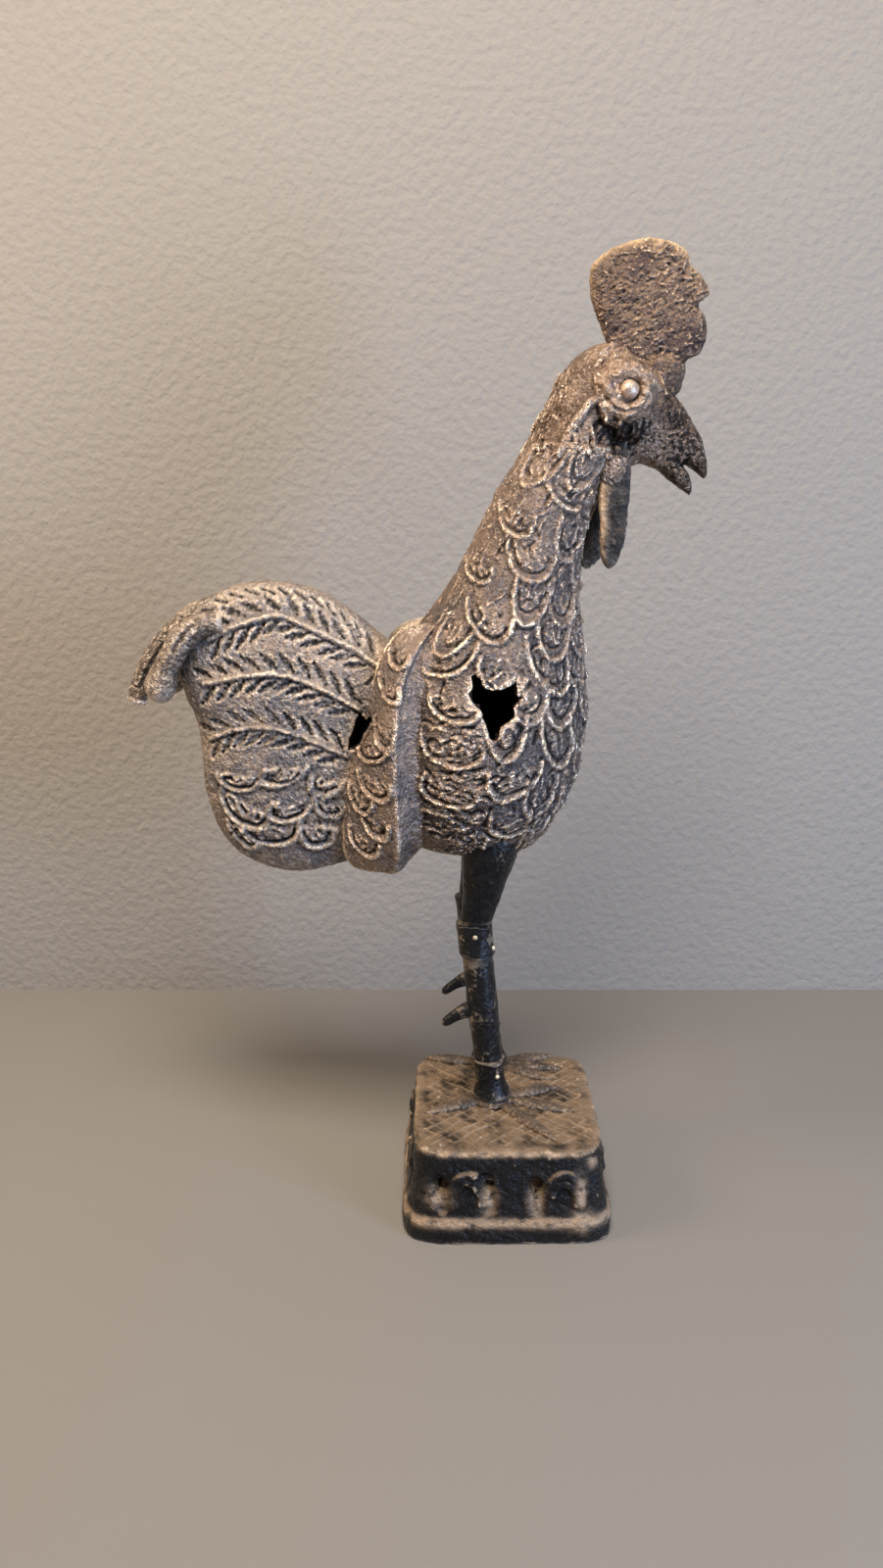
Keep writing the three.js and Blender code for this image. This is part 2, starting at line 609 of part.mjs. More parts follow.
function wingSkin(side) {
  return new Skin(WING_ROWS.map(([rise, ridge, crease, halfWidth]) => {
    const foot = ridge + WING_VALLEY;
    const footOut = Math.max(bodyHalfWidthAt(foot, rise) - JOINT_GAP, WING_CREASE_OUT / 2);
    const back = crease - 0.5;
    return [
      [foot, footOut], [ridge + WING_VALLEY * 0.45, footOut * 0.4 + halfWidth * 0.6],
      [ridge + 1, halfWidth - 0.5], [ridge, halfWidth], [ridge - 1.6, halfWidth - 0.7],
      [(ridge + crease) / 2, halfWidth * 0.6 + WING_CREASE_OUT * 0.4], [back, WING_CREASE_OUT],
      [crease + 2, WING_CREASE_OUT * 0.3], [ridge + 2, WING_CREASE_OUT * 0.3],
    ].map(([x, out]) => new THREE.Vector3(x, side * out, rise));
  }));
}

// Legs: upright lofts that follow the shank's lean

function legX(rise) {
  const share = (rise - plinthTop) / (LEG_LENGTH - KNEE_DROP);
  return ANKLE_X + (KNEE_X - ANKLE_X) * share;
}

function legBar(y, low, high, radius) {
  const ring = (rise) => ellipse(legX(rise), y, rise, radius, radius, LEG_SIDES);
  return new Skin([ring(low), ring(high)]).solid();
}

const kneeRise = -KNEE_DROP;
const sleeveTop = kneeRise + KNEE_SLEEVE_HEIGHT / 2;
const sleeveFoot = kneeRise - KNEE_SLEEVE_HEIGHT / 2;
const footTop = plinthTop + JOINT_GAP + HUB_HEIGHT;
const collarFoot = footTop + JOINT_GAP;
const collarTop = plinthTop + ANKLE_COLLAR_HEIGHT + HUB_HEIGHT;
const plinthUnder = plinthTop - PLINTH_WALL;
const body = bodySkin(BODY_SIDES);
const bodyInside = bodySkin(BODY_SIDES / 2).grown(-BODY_WALL).solid();
const bodyClear = body.grown(JOINT_GAP).solid();
const neckAbove = slab(NECK_TOP, NECK_TOP + LEG_LENGTH);
const headOnNeck = slab(NECK_TOP + JOINT_GAP, NECK_TOP + LEG_LENGTH);
const tail = tailSkin();
const tailMesh = new THREE.Mesh(tail.geometry());
const tailClear = tail.grown(JOINT_GAP).solid();
const head = headSkin();
const headClear = head.grown(JOINT_GAP).solid().add(bodyClear.intersect(headOnNeck));
const wings = new Map(SIDES.map(([, side]) => [side, wingSkin(side)]));
const wingsClear = wasm.Manifold.union([...wings.values()].map((wing) => wing.grown(JOINT_GAP).solid()));

// Pins through the knee sleeve, and the one through the ankle collar: middle, direction, half length.
function legPins(y, side) {
  const quarter = KNEE_SLEEVE_HEIGHT / 4;
  const reach = KNEE_SLEEVE_RADIUS + PIN_PROUD;
  const turn = radians(ANKLE_PIN_TURN);
  const ankleRise = plinthTop + ANKLE_PIN_RISE;
  return {
    knee_upper_pin: [kneeRise + quarter, new THREE.Vector3(1, 0, 0), reach],
    knee_lower_pin: [kneeRise - quarter, new THREE.Vector3(0, 1, 0), reach],
    ankle_pin: [ankleRise, new THREE.Vector3(Math.sin(turn), side * Math.cos(turn), 0),
      ANKLE_COLLAR_RADIUS + PIN_PROUD],
    at: (rise) => new THREE.Vector3(legX(rise), y, rise),
  };
}

function legCastings(word, side) {
  const y = (side * LEG_SPACING) / 2;
  const pins = legPins(y, side);
  const pinBar = ([rise, way, half], radius) => {
    const middle = pins.at(rise);
    return bar(middle.clone().addScaledVector(way, -half), middle.clone().addScaledVector(way, half), radius);
  };
  const pinNames = ['knee_upper_pin', 'knee_lower_pin', 'ankle_pin'];
  const holes = pinNames.map((name) => {
    const [rise, way, half] = pins[name];
    return pinBar([rise, way, half + 1], PIN_RADIUS + JOINT_GAP);
  });
  const drilled = (solid) => holes.reduce((rest, hole) => rest.subtract(hole), solid);

  const thighSkin = new Skin(THIGH_ROWS.map(([rise, x, halfLength, halfWidth]) => (
    ellipse(x, y, rise, halfLength, halfWidth, LEG_SIDES))));
  const hipX = THIGH_ROWS.at(-1)[1];
  const thigh = thighSkin.solid()
    .subtract(slab(sleeveTop - LEG_LENGTH, sleeveTop + JOINT_GAP))
    .subtract(bodyClear)
    .add(bar(new THREE.Vector3(hipX, y, -3), new THREE.Vector3(hipX, y, HIP_TENON_REACH), HIP_TENON_RADIUS))
    .add(legBar(y, kneeRise + JOINT_GAP / 2, sleeveTop + 2, KNEE_TENON_RADIUS));

  const sleeve = legBar(y, sleeveFoot, sleeveTop, KNEE_SLEEVE_RADIUS)
    .subtract(legBar(y, sleeveFoot - 1, sleeveTop + 1, KNEE_TENON_RADIUS + JOINT_GAP));

  const shankTop = sleeveFoot - JOINT_GAP;
  const shankFoot = collarTop + JOINT_GAP;
  const shankRing = (rise, radius) => ellipse(legX(rise), y, rise, radius, radius, LEG_SIDES);
  const shankSkin = new Skin([
    shankRing(shankFoot, SHANK_FOOT_RADIUS),
    shankRing(shankFoot + (shankTop - shankFoot) * 0.3, (SHANK_FOOT_RADIUS + SHANK_MIDDLE_RADIUS) / 2),
    shankRing(shankFoot + (shankTop - shankFoot) * 0.55, SHANK_MIDDLE_RADIUS),
    shankRing(shankTop, SHANK_TOP_RADIUS),
  ]);

  const spurRise = plinthTop + SPUR_RISE;
  const droop = radians(SPUR_DROOP);
  const spurWay = new THREE.Vector3(-Math.cos(droop), 0, -Math.sin(droop));
  const spurRoot = pins.at(spurRise);
  const spurAt = (reach) => spurRoot.clone().addScaledVector(spurWay, reach);
  const spurSeat = SHANK_MIDDLE_RADIUS - SPUR_TENON_REACH;
  const spurTip = spurAt(SHANK_MIDDLE_RADIUS + SPUR_LENGTH - SPUR_TIP_RADIUS);
  const spur = bar(spurAt(SHANK_MIDDLE_RADIUS - 1.5), spurTip, SPUR_ROOT_RADIUS, SPUR_TIP_RADIUS)
    .subtract(shankSkin.grown(JOINT_GAP).solid())
    .add(bar(spurAt(spurSeat), spurAt(SHANK_MIDDLE_RADIUS + 2), SPUR_TENON_RADIUS));
  const spurHole = bar(spurAt(spurSeat - JOINT_GAP), spurAt(SHANK_MIDDLE_RADIUS + 4),
    SPUR_TENON_RADIUS + JOINT_GAP);

  const shank = shankSkin.solid().subtract(spurHole)
    .add(legBar(y, shankTop - 1, kneeRise - JOINT_GAP / 2, KNEE_TENON_RADIUS))
    .add(legBar(y, plinthUnder - TENON_PEEN, shankFoot + 1, ANKLE_TENON_RADIUS));

  const collar = legBar(y, collarFoot, collarTop, ANKLE_COLLAR_RADIUS)
    .subtract(legBar(y, collarFoot - 1, collarTop + 1, ANKLE_TENON_RADIUS + JOINT_GAP));

  return [
    casting(`${word}_thigh`, drilled(thigh), darkBronze),
    casting(`${word}_knee_sleeve`, drilled(sleeve), darkBronze),
    casting(`${word}_shank`, drilled(shank), darkBronze),
    casting(`${word}_spur`, spur, darkBronze),
    casting(`${word}_ankle_collar`, drilled(collar), darkBronze),
    ...pinNames.map((name) => casting(`${word}_${name}`, pinBar(pins[name], PIN_RADIUS), brass)),
    footCasting(word, y, side < 0 ? RIGHT_TOE_TURNS : LEFT_TOE_TURNS,
      side < 0 ? RIGHT_TOE_LENGTHS : LEFT_TOE_LENGTHS),
  ];
}

// One toe, flat underneath, from the hub's middle out to its rounded tip.
function toe(hubX, y, low, turnDegrees, length) {
  const turn = radians(turnDegrees);
  const ahead = new THREE.Vector3(Math.cos(turn), Math.sin(turn), 0);
  const across = new THREE.Vector3(-Math.sin(turn), Math.cos(turn), 0);
  const profile = [[0, 1], [0.45, 0.92], [0.8, 0.7], [0.95, 0.5], [1, 0.25]];
  const arc = [[-1, 0], [-0.8, 0.62], [0, 1], [0.8, 0.62], [1, 0]];
  return new Skin(profile.map(([share, height]) => {
    const halfWidth = THREE.MathUtils.lerp(TOE_ROOT_WIDTH, TOE_TIP_WIDTH, share) / 2;
    const middle = new THREE.Vector3(hubX, y, low).addScaledVector(ahead, share * length);
    return arc.map(([side, up]) => middle.clone().addScaledVector(across, side * halfWidth)
      .add(new THREE.Vector3(0, 0, up * height * TOE_HEIGHT)));
  })).solid();
}

function footCasting(word, y, turns, lengths) {
  const low = plinthTop + JOINT_GAP;
  const hub = new Skin([
    ellipse(ANKLE_X, y, low, HUB_RADIUS, HUB_RADIUS, LEG_SIDES),
    ellipse(ANKLE_X, y, footTop, HUB_RADIUS * 0.86, HUB_RADIUS * 0.86, LEG_SIDES),
  ]).solid();
  const bore = legBar(y, low - 1, footTop + TOE_HEIGHT, ANKLE_TENON_RADIUS + JOINT_GAP);
  const under = legBar(y, footTop, footTop + TOE_HEIGHT, ANKLE_COLLAR_RADIUS + JOINT_GAP);
  const solid = turns.reduce((rest, turn, i) => rest.add(toe(ANKLE_X, y, low, turn, lengths[i])), hub);
  return casting(`${word}_foot`, solid.subtract(bore).subtract(under), dustyBronze);
}

// Plinth

// A square with round corners, grown outwards by a distance.
function plinthRing(rise, grow) {
  const [halfLength, halfWidth] = [PLINTH_LENGTH / 2 + grow, PLINTH_WIDTH / 2 + grow];
  const corner = Math.max(PLINTH_CORNER + grow, 1);
  const perCorner = 5;
  return [[1, 1], [-1, 1], [-1, -1], [1, -1]].flatMap(([sx, sy], quarter) => (
    Array.from({ length: perCorner }, (_, j) => {
      const turn = (quarter + j / (perCorner - 1)) * (Math.PI / 2);
      return new THREE.Vector3(
        sx * (halfLength - corner) + corner * Math.cos(turn),
        sy * (halfWidth - corner) + corner * Math.sin(turn) - BIRD_SET_BACK, rise);
    })));
}

function plinthCasting() {
  const panelTop = PLINTH_HEIGHT - PLINTH_CROWN;
  const flareAt = (height) => PLINTH_FLARE * (1 - height / PLINTH_HEIGHT);
  const outside = new Skin([
    [0, PLINTH_FLARE - 0.8], [1.6, flareAt(1.6)], [PLINTH_RIM - 1.4, flareAt(PLINTH_RIM)],
    [PLINTH_RIM, flareAt(PLINTH_RIM) - PLINTH_BEAD], [panelTop, flareAt(panelTop) - PLINTH_BEAD],
    [panelTop + 1.4, flareAt(panelTop)], [PLINTH_HEIGHT - 1.2, -0.2], [PLINTH_HEIGHT, -1.6],
  ].map(([height, grow]) => plinthRing(floorRise + height, grow))).solid();
  const inside = new Skin([
    plinthRing(floorRise - 1, PLINTH_FLARE - PLINTH_WALL),
    plinthRing(plinthUnder, -PLINTH_BEAD - PLINTH_WALL),
  ]).solid();
  let solid = outside.subtract(inside);
  for (const [x, width, height] of PIERCINGS) {
    const hole = new THREE.CylinderGeometry(width / 2, width / 2, 2 * PLINTH_WIDTH, 8);
    hole.scale(1, 1, height / width);
    hole.translate(x, -BIRD_SET_BACK, floorRise + PIERCING_HEIGHT);
    solid = solid.subtract(solidOf(hole));
  }
  for (const [, side] of SIDES) {
    const y = (side * LEG_SPACING) / 2;
    solid = solid.subtract(legBar(y, plinthUnder - 2, plinthTop + 2, ANKLE_TENON_RADIUS + JOINT_GAP));
  }
  return casting('plinth', solid, dustyBronze);
}

// Body, with its holes, the sockets for what joins it and the lip that the tail slides over

function wingPeg(side, radius, more = 0) {
  const x = rowAt(WING_ROWS, WING_PEG_RISE)[1] + 2;
  const surface = bodyHalfWidthAt(x, WING_PEG_RISE);
  const point = (out) => new THREE.Vector3(x, side * out, WING_PEG_RISE);
  return bar(point(surface - BODY_WALL * 2 - more), point(surface + 4 + more), radius);
}

function crackSolid() {
  return plate(TAIL_CRACK, TAIL_HALF_THICKNESS * 2, -TAIL_HALF_THICKNESS - 1);
}

// The space that the wattles hang in, where the throat is bare.
function throatClear() {
  const [left, foot] = [0, 1].map((column) => Math.min(...WATTLE_OUTLINE.map((p) => p[column])) - 1);
  const room = new THREE.BoxGeometry(LEG_SPACING, 4 * WATTLE_OUT, NECK_TOP - foot);
  room.translate(left + LEG_SPACING / 2, 0, (NECK_TOP + foot) / 2);
  return solidOf(room);
}

function bodyBands() {
  const bands = bodyScales().map((scale) => (
    ridge(scaleArc(scale).map(seatOnBody), BAND_HALF_WIDTH, BAND_HEIGHT)));
  return wasm.Manifold.union(bands).subtract(slab(-LEG_LENGTH, SCALES_END)).subtract(wingsClear)
    .subtract(tailClear).subtract(head.grown(JOINT_GAP).solid()).subtract(throatClear());
}

function bodyGrooves() {
  return wasm.Manifold.union(bodyScales().map((scale) => (
    ridge(scaleGroove(scale).map(seatOnBody), GROOVE_HALF_WIDTH, -GROOVE_DEPTH))));
}

function bodyCasting() {
  const lipOutside = tail.grown(-TAIL_WALL - JOINT_GAP).solid();
  const lipInside = tail.grown(-TAIL_WALL - JOINT_GAP - BODY_WALL).solid();
  const backX = Math.min(...BODY_ROWS.map((row) => row[1]));
  const lipRoom = new THREE.BoxGeometry(TAIL_LIP_REACH * 2, LEG_LENGTH, LEG_LENGTH);
  lipRoom.translate(backX, 0, TAIL_MIDDLE[1]);
  const lip = lipOutside.subtract(lipInside).intersect(solidOf(lipRoom));
  const hole = plate(BREAST_HOLE, LEG_SPACING * 2, -LEG_SPACING * 1.2);
  let solid = body.solid().subtract(bodyGrooves()).add(bodyBands()).add(lip).subtract(bodyInside)
    .subtract(lipInside).subtract(neckAbove).subtract(hole).subtract(crackSolid());
  for (const [, side] of SIDES) {
    const y = (side * LEG_SPACING) / 2;
    const hipX = THIGH_ROWS.at(-1)[1];
    const [under, over] = [-4, HIP_TENON_REACH + 2].map((rise) => new THREE.Vector3(hipX, y, rise));
    solid = solid.subtract(bar(under, over, HIP_TENON_RADIUS + JOINT_GAP));
    solid = solid.subtract(wingPeg(side, WING_PEG_RADIUS + JOINT_GAP, 1));
  }
  return casting('body_shell', solid, bronze);
}

function wingCasting(word, side) {
  const solid = wings.get(side).solid().subtract(bodyClear).subtract(tailClear).subtract(crackSolid())
    .add(wingPeg(side, WING_PEG_RADIUS));
  return casting(`${word}_wing`, solid, bronze);
}

// Tail shell, its crack, and its sickle feathers with a tenon each

function sickleTenon(rows, y, radius, more = 0) {
  const [x, rise] = rows[1];
  const [nextX, nextRise] = rows[2];
  const way = new THREE.Vector3(nextX - x, 0, nextRise - rise).normalize();
  const at = new THREE.Vector3(x, y, rise);
  const inside = at.clone().addScaledVector(way, -SICKLE_TENON_REACH - more);
  return bar(inside, at.clone().addScaledVector(way, 6), radius);
}

// A place on the tail's skin, as seen from one side, and the way that the skin faces there.
function seatOnTail(x, rise, side) {
  const from = new THREE.Vector3(x, side * LEG_LENGTH, rise);
  const [hit] = new THREE.Raycaster(from, new THREE.Vector3(0, -side, 0)).intersectObject(tailMesh);
  return { at: hit.point, out: hit.face.normal.clone() };
}

// The barbs' cutters on both sides of a quill, slanting back from it.
function barbs(quill, side) {
  const curve = new THREE.CatmullRomCurve3(quill.map(([x, rise]) => new THREE.Vector3(x, 0, rise)),
    false, 'centripetal');
  const count = Math.floor(curve.getLength() / BARB_STEP);
  return Array.from({ length: count }, (_, i) => [-1, 1].map((hand) => {
    const share = (i + 0.5) / count;
    const way = curve.getTangentAt(share);
    const off = new THREE.Vector3(-way.z, 0, way.x).multiplyScalar(hand);
    const start = curve.getPointAt(share).addScaledVector(off, BARB_START);
    const end = start.clone().addScaledVector(way, -BARB_BACK).addScaledVector(off, BARB_OUT);
    const middle = start.clone().lerp(end, 0.5);
    const seats = [start, middle, end].map((p) => seatOnTail(p.x, p.z, side));
    return ridge(seats, BARB_HALF_WIDTH, -BARB_DEPTH);
  })).flat();
}

function quillRidge(quill, side) {
  const curve = new THREE.CatmullRomCurve3(quill.map(([x, rise]) => new THREE.Vector3(x, 0, rise)),
    false, 'centripetal');
  const seats = curve.getSpacedPoints(QUILL_STEPS).map((p) => seatOnTail(p.x, p.z, side));
  return ridge(seats, BAND_HALF_WIDTH, BAND_HEIGHT);
}

function tailScaleBand(corners, side) {
  const scale = scaleBetween(...corners.map(([x, rise]) => new THREE.Vector3(x, 0, rise)));
  return ridge(scaleArc(scale).map((p) => seatOnTail(p.x, p.z, side)), BAND_HALF_WIDTH, BAND_HEIGHT);
}

const SICKLES = [
  ['middle_sickle_feather', MIDDLE_SICKLE_ROWS, 0],
  ['right_sickle_feather', SIDE_SICKLE_ROWS, -SIDE_SICKLE_OUT],
  ['left_sickle_feather', SIDE_SICKLE_ROWS, SIDE_SICKLE_OUT],
];

function tailCastings() {
  const grooves = SIDES.flatMap(([, side]) => QUILLS.flatMap((quill) => barbs(quill, side)));
  const raised = SIDES.flatMap(([, side]) => [
    ...QUILLS.map((quill) => quillRidge(quill, side)),
    ...TAIL_SCALES.map((corners) => tailScaleBand(corners, side)),
  ]);
  const sicklesClear = SICKLES.map(([, rows, y]) => featherSkin(rows, y).grown(JOINT_GAP).solid());
  const ribs = wasm.Manifold.union(raised).subtract(wingsClear)
    .subtract(wasm.Manifold.union(sicklesClear));
  let shell = tail.solid().add(ribs).subtract(wasm.Manifold.union(grooves))
    .subtract(tail.grown(-TAIL_WALL).solid()).subtract(bodyClear).subtract(crackSolid());
  for (const [, rows, y] of SICKLES) {
    shell = shell.subtract(sickleTenon(rows, y, SICKLE_TENON_RADIUS + JOINT_GAP, JOINT_GAP));
  }
  return [
    casting('tail_fan', shell, bronze),
    ...SICKLES.map(([name, rows, y]) => {
      const feather = featherSkin(rows, y).solid().subtract(tailClear);
      return casting(name, feather.add(sickleTenon(rows, y, SICKLE_TENON_RADIUS)), bronze);
    }),
  ];
}

// Head and what is set on it

function combTenon([x, rise], radius, more = 0) {
  const inside = new THREE.Vector3(x, 0, rise - COMB_TENON_REACH - more);
  return bar(inside, new THREE.Vector3(x, 0, rise + COMB_TENON_GRIP), radius);
}

function eyeTenon(side, radius, more = 0) {
  const out = headHalfWidthAt(EYE_X, EYE_RISE);
  return bar(new THREE.Vector3(EYE_X, side * (out - EYE_TENON_REACH - more), EYE_RISE),
    new THREE.Vector3(EYE_X, side * (out + 1), EYE_RISE), radius);
}

function wattleTenon(side, radius, more = 0) {
  const [x, rise] = [HEAD_BACK[0] + WATTLE_TENON_AHEAD, WATTLE_OUTLINE[0][1]];
  const y = side * WATTLE_OUT;
  const inside = new THREE.Vector3(x, y, rise + WATTLE_TENON_REACH + more);
  return bar(new THREE.Vector3(x, y, rise - WATTLE_TENON_GRIP), inside, radius);
}

function headCasting() {
  const spigot = bodySkin(BODY_SIDES / 2).grown(-BODY_WALL - JOINT_GAP).solid()
    .intersect(slab(NECK_TOP - NECK_SPIGOT_REACH, NECK_TOP + 2));
  const neck = bodyClear.subtract(headOnNeck);
  const gape = new Skin([-1, 1].map((side) => BEAK_GAPE.map(([along, up]) => (
    headPoint(along, up, side * LEG_SPACING))))).solid();
  let solid = head.solid().add(body.solid().intersect(headOnNeck)).subtract(neck).add(spigot)
    .subtract(gape);
  for (const at of COMB_TENONS) {
    solid = solid.subtract(combTenon(at, COMB_TENON_RADIUS + JOINT_GAP, JOINT_GAP));
  }
  for (const [, side] of SIDES) {
    solid = solid.subtract(eyeTenon(side, EYE_TENON_RADIUS + JOINT_GAP, JOINT_GAP));
    solid = solid.subtract(wattleTenon(side, WATTLE_TENON_RADIUS + JOINT_GAP, JOINT_GAP));
  }
  return casting('head', solid, bronze);
}

function combCasting() {
  let solid = plate(COMB_OUTLINE, COMB_THICKNESS, 0, 1).subtract(headClear);
  for (const at of COMB_TENONS) solid = solid.add(combTenon(at, COMB_TENON_RADIUS));
  return casting('comb', solid, bronze);
}

function eyeCastings(word, side) {
  const out = headHalfWidthAt(EYE_X, EYE_RISE);
  const point = (reach) => new THREE.Vector3(EYE_X, side * reach, EYE_RISE);
  const ring = bar(point(out - 3), point(out + EYE_RING_PROUD), EYE_RING_RADIUS, EYE_RING_RADIUS - 0.8, 16)
    .subtract(bar(point(out - 4), point(out + EYE_RING_PROUD + 1), EYE_RING_HOLE, EYE_RING_HOLE, 12))
    .subtract(headClear);
  const dome = new THREE.SphereGeometry(EYE_BALL_RADIUS, 10, 6);
  dome.translate(...point(out).toArray());
  const ball = solidOf(dome).subtract(headClear).add(eyeTenon(side, EYE_TENON_RADIUS));
  return [casting(`${word}_eye_ring`, ring, bronze), casting(`${word}_eye`, ball, bronze)];
}

function wattleCasting(word, side) {
  const splay = radians(WATTLE_SPLAY) * side;
  const hang = WATTLE_OUTLINE[0][1];
  const flat = plate(WATTLE_OUTLINE, WATTLE_THICKNESS, 0, 0.8)
    .translate([0, 0, -hang]).rotate([(splay * 180) / Math.PI, 0, 0]).translate([0, side * WATTLE_OUT, hang]);
  const solid = flat.subtract(bodyClear).subtract(headClear).add(wattleTenon(side, WATTLE_TENON_RADIUS));
  return casting(`${word}_wattle`, solid, bronze);
}

// The whole figure

const bird = new THREE.Group();
bird.add(bodyCasting(), ...tailCastings(), headCasting(), combCasting());
for (const [word, side] of SIDES) {
  bird.add(wingCasting(word, side), ...eyeCastings(word, side), wattleCasting(word, side));
}
const stand = new THREE.Group();
stand.add(plinthCasting());
for (const [word, side] of SIDES) stand.add(...legCastings(word, side));

const figure = new THREE.Group();
figure.add(bird, stand);
const box = new THREE.Box3().setFromObject(figure);
const middle = box.getCenter(new THREE.Vector3());
figure.position.set(-middle.x, -middle.y, -box.min.z);

export default figure;
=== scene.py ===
"""Looks of a cast bronze cockerel that stands on a hollow square plinth.

Every form is drawn in the bird's own frame, in millimetres: X from the plinth's middle towards the
beak, Y from the bird's middle plane towards its left, Z up from the ground. `Frame` moves finished
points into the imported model's frame, in metres.
"""
import json
import logging
import math
from dataclasses import dataclass, field, replace
from enum import Enum

import bpy
import numpy as np
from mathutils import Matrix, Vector
from mathutils.bvhtree import BVHTree

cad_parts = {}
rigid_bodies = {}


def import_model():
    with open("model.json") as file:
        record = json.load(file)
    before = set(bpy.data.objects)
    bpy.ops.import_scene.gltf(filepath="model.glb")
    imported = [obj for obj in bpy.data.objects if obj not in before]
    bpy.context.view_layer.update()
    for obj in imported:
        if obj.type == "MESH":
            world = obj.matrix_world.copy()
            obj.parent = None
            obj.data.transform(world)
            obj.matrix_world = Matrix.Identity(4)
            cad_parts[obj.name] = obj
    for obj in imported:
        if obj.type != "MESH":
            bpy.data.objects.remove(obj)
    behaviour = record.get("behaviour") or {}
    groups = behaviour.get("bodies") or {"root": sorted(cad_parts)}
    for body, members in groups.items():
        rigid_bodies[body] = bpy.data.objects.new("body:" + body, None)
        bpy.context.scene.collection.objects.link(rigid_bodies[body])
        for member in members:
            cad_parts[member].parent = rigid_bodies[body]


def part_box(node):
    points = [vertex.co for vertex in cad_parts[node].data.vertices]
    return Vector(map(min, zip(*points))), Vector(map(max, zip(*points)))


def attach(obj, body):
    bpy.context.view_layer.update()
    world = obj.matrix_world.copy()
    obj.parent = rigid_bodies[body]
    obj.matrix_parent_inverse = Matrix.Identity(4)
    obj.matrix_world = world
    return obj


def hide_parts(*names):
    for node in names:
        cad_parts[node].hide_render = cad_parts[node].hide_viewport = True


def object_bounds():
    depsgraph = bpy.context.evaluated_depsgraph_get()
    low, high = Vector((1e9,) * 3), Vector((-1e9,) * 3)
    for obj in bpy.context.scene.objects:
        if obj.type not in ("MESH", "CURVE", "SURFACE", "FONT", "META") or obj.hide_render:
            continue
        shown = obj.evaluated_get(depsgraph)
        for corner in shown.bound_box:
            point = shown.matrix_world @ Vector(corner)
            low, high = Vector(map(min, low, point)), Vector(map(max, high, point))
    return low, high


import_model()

LOG = logging.getLogger("cockerel")
CAD_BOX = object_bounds()
MM = 0.001
BELLY = 117.0  # height of the belly over the ground, from which the tables below count
PLINTH_BEHIND = -12.0  # the plinth's middle, from the bird's middle plane
SEED = 11
HAIR = 0.02 * MM  # how far inside the solids' own box the looks stay
BODY_INSET = 0.15  # the body's smooth skin lies this far inside its table, and its relief stands out

# The outlines that the castings share with the solids: see each class for the columns.
BODY_ROWS = [
    (0, -23, 3, 9), (1.3, -29, 7, 15), (4, -33, 10.5, 19.5), (9, -35.5, 14, 23), (17, -37.4, 18.6, 25.8),
    (28, -38.8, 22.6, 27.6), (41, -39.5, 24.2, 28), (53, -38.5, 24.2, 26.8), (64, -35, 23.2, 24.2),
    (74, -26.7, 21.8, 21.6), (84, -19, 21.2, 19.2), (95, -13, 21.8, 17.2), (105, -8.1, 23.8, 15.6),
    (115, -3, 27.4, 14.2), (123, 2.5, 30.8, 13.2), (131, 6.8, 33, 12.4), (138, 10.4, 33, 11.8),
    (145, 14.4, 31, 9.6),
]
NECK_TOP = 124.0
BODY_WALL = 2.6
BREAST_HOLE = [
    (-12.4, 60), (-11.2, 60.6), (-9.3, 59.8), (-8.5, 57.6), (-7.6, 56.8), (-5.8, 56), (-3.4, 56.4),
    (-1.2, 57.6), (1.7, 60.6), (1.0, 57.2), (1.5, 54.4), (3.6, 56.6), (1.6, 52.6), (0.6, 50.6),
    (0.9, 48), (-1.2, 46), (-3.6, 44.8), (-4.2, 42), (-5.8, 40.4), (-7.4, 41.8), (-8.4, 46.5),
    (-10.4, 50.6), (-12.2, 52.4), (-13.4, 54.6), (-12, 56.6),
]
TAIL_MIDDLE = (-70.0, 40.0)
TAIL_HALF_THICKNESS = 14.5
TAIL_THIN = 0.3
TAIL_FULLNESS = 2.6
TAIL_OUTLINE = [
    (-31, 60), (-42.6, 71.2), (-52.3, 78.7), (-62, 83.7), (-73.9, 85.6), (-85, 84.2), (-94.5, 79.6),
    (-101, 72), (-103.8, 62), (-102.2, 51.5), (-98.5, 42), (-97.5, 30), (-97, 19), (-93.5, 7),
    (-86.5, -2.2), (-78, -6.6), (-68, -8.6), (-58, -6.8), (-48, -3), (-36, 6), (-28.5, 25), (-27.5, 44),
]
TAIL_CRACK = [
    (-50.2, 34.6), (-49.6, 38.4), (-48.2, 41.6), (-47.6, 44.8), (-46, 46.4), (-44.4, 44.4), (-42.6, 46.6),
    (-42.2, 44.8), (-44.2, 41.4), (-45.8, 38), (-47.2, 34.8),
]
WING_ROWS = [
    (-6.4, -38.8, -45, 13.5), (-4, -36.4, -49, 17), (0, -34.9, -51.4, 20.3), (7, -34.1, -52, 23),
    (16, -34.2, -51.7, 24.6), (28, -34.7, -50.6, 25.2), (40, -34.5, -47.4, 24.8), (52, -33.6, -43, 23.4),
    (60, -31.6, -40.4, 21), (68, -27.4, -36.4, 17.2), (74, -22.6, -29.6, 13),
]
WING_VALLEY = 7.5
WING_CREASE_OUT = 12.0
HEAD_BACK = (17.0, 145.0)
HEAD_DROOP = math.radians(37.6)
SKULL_ROWS = [
    (-2.4, -3.5, 4.5, 3.6), (-0.6, -8, 10, 7), (3, -12, 13.6, 9.8), (9, -14.2, 15.6, 11.8),
    (16, -14.2, 16.4, 12), (22, -12, 16, 10.6), (27.5, -9, 14.8, 8.4), (33, -6.2, 13.4, 6.2),
    (38, -4.7, 11.8, 5), (41.5, -4.7, 9.8, 4.2),
]
UPPER_BEAK_ROWS = [
    (35, -1, 12.6, 5.4), (38, -0.5, 11.8, 5), (43, 1.5, 9.6, 4), (46.7, 2, 6.9, 3.1), (49, 1.8, 4.7, 2.2),
    (50.2, 1.8, 3.3, 1.2),
]
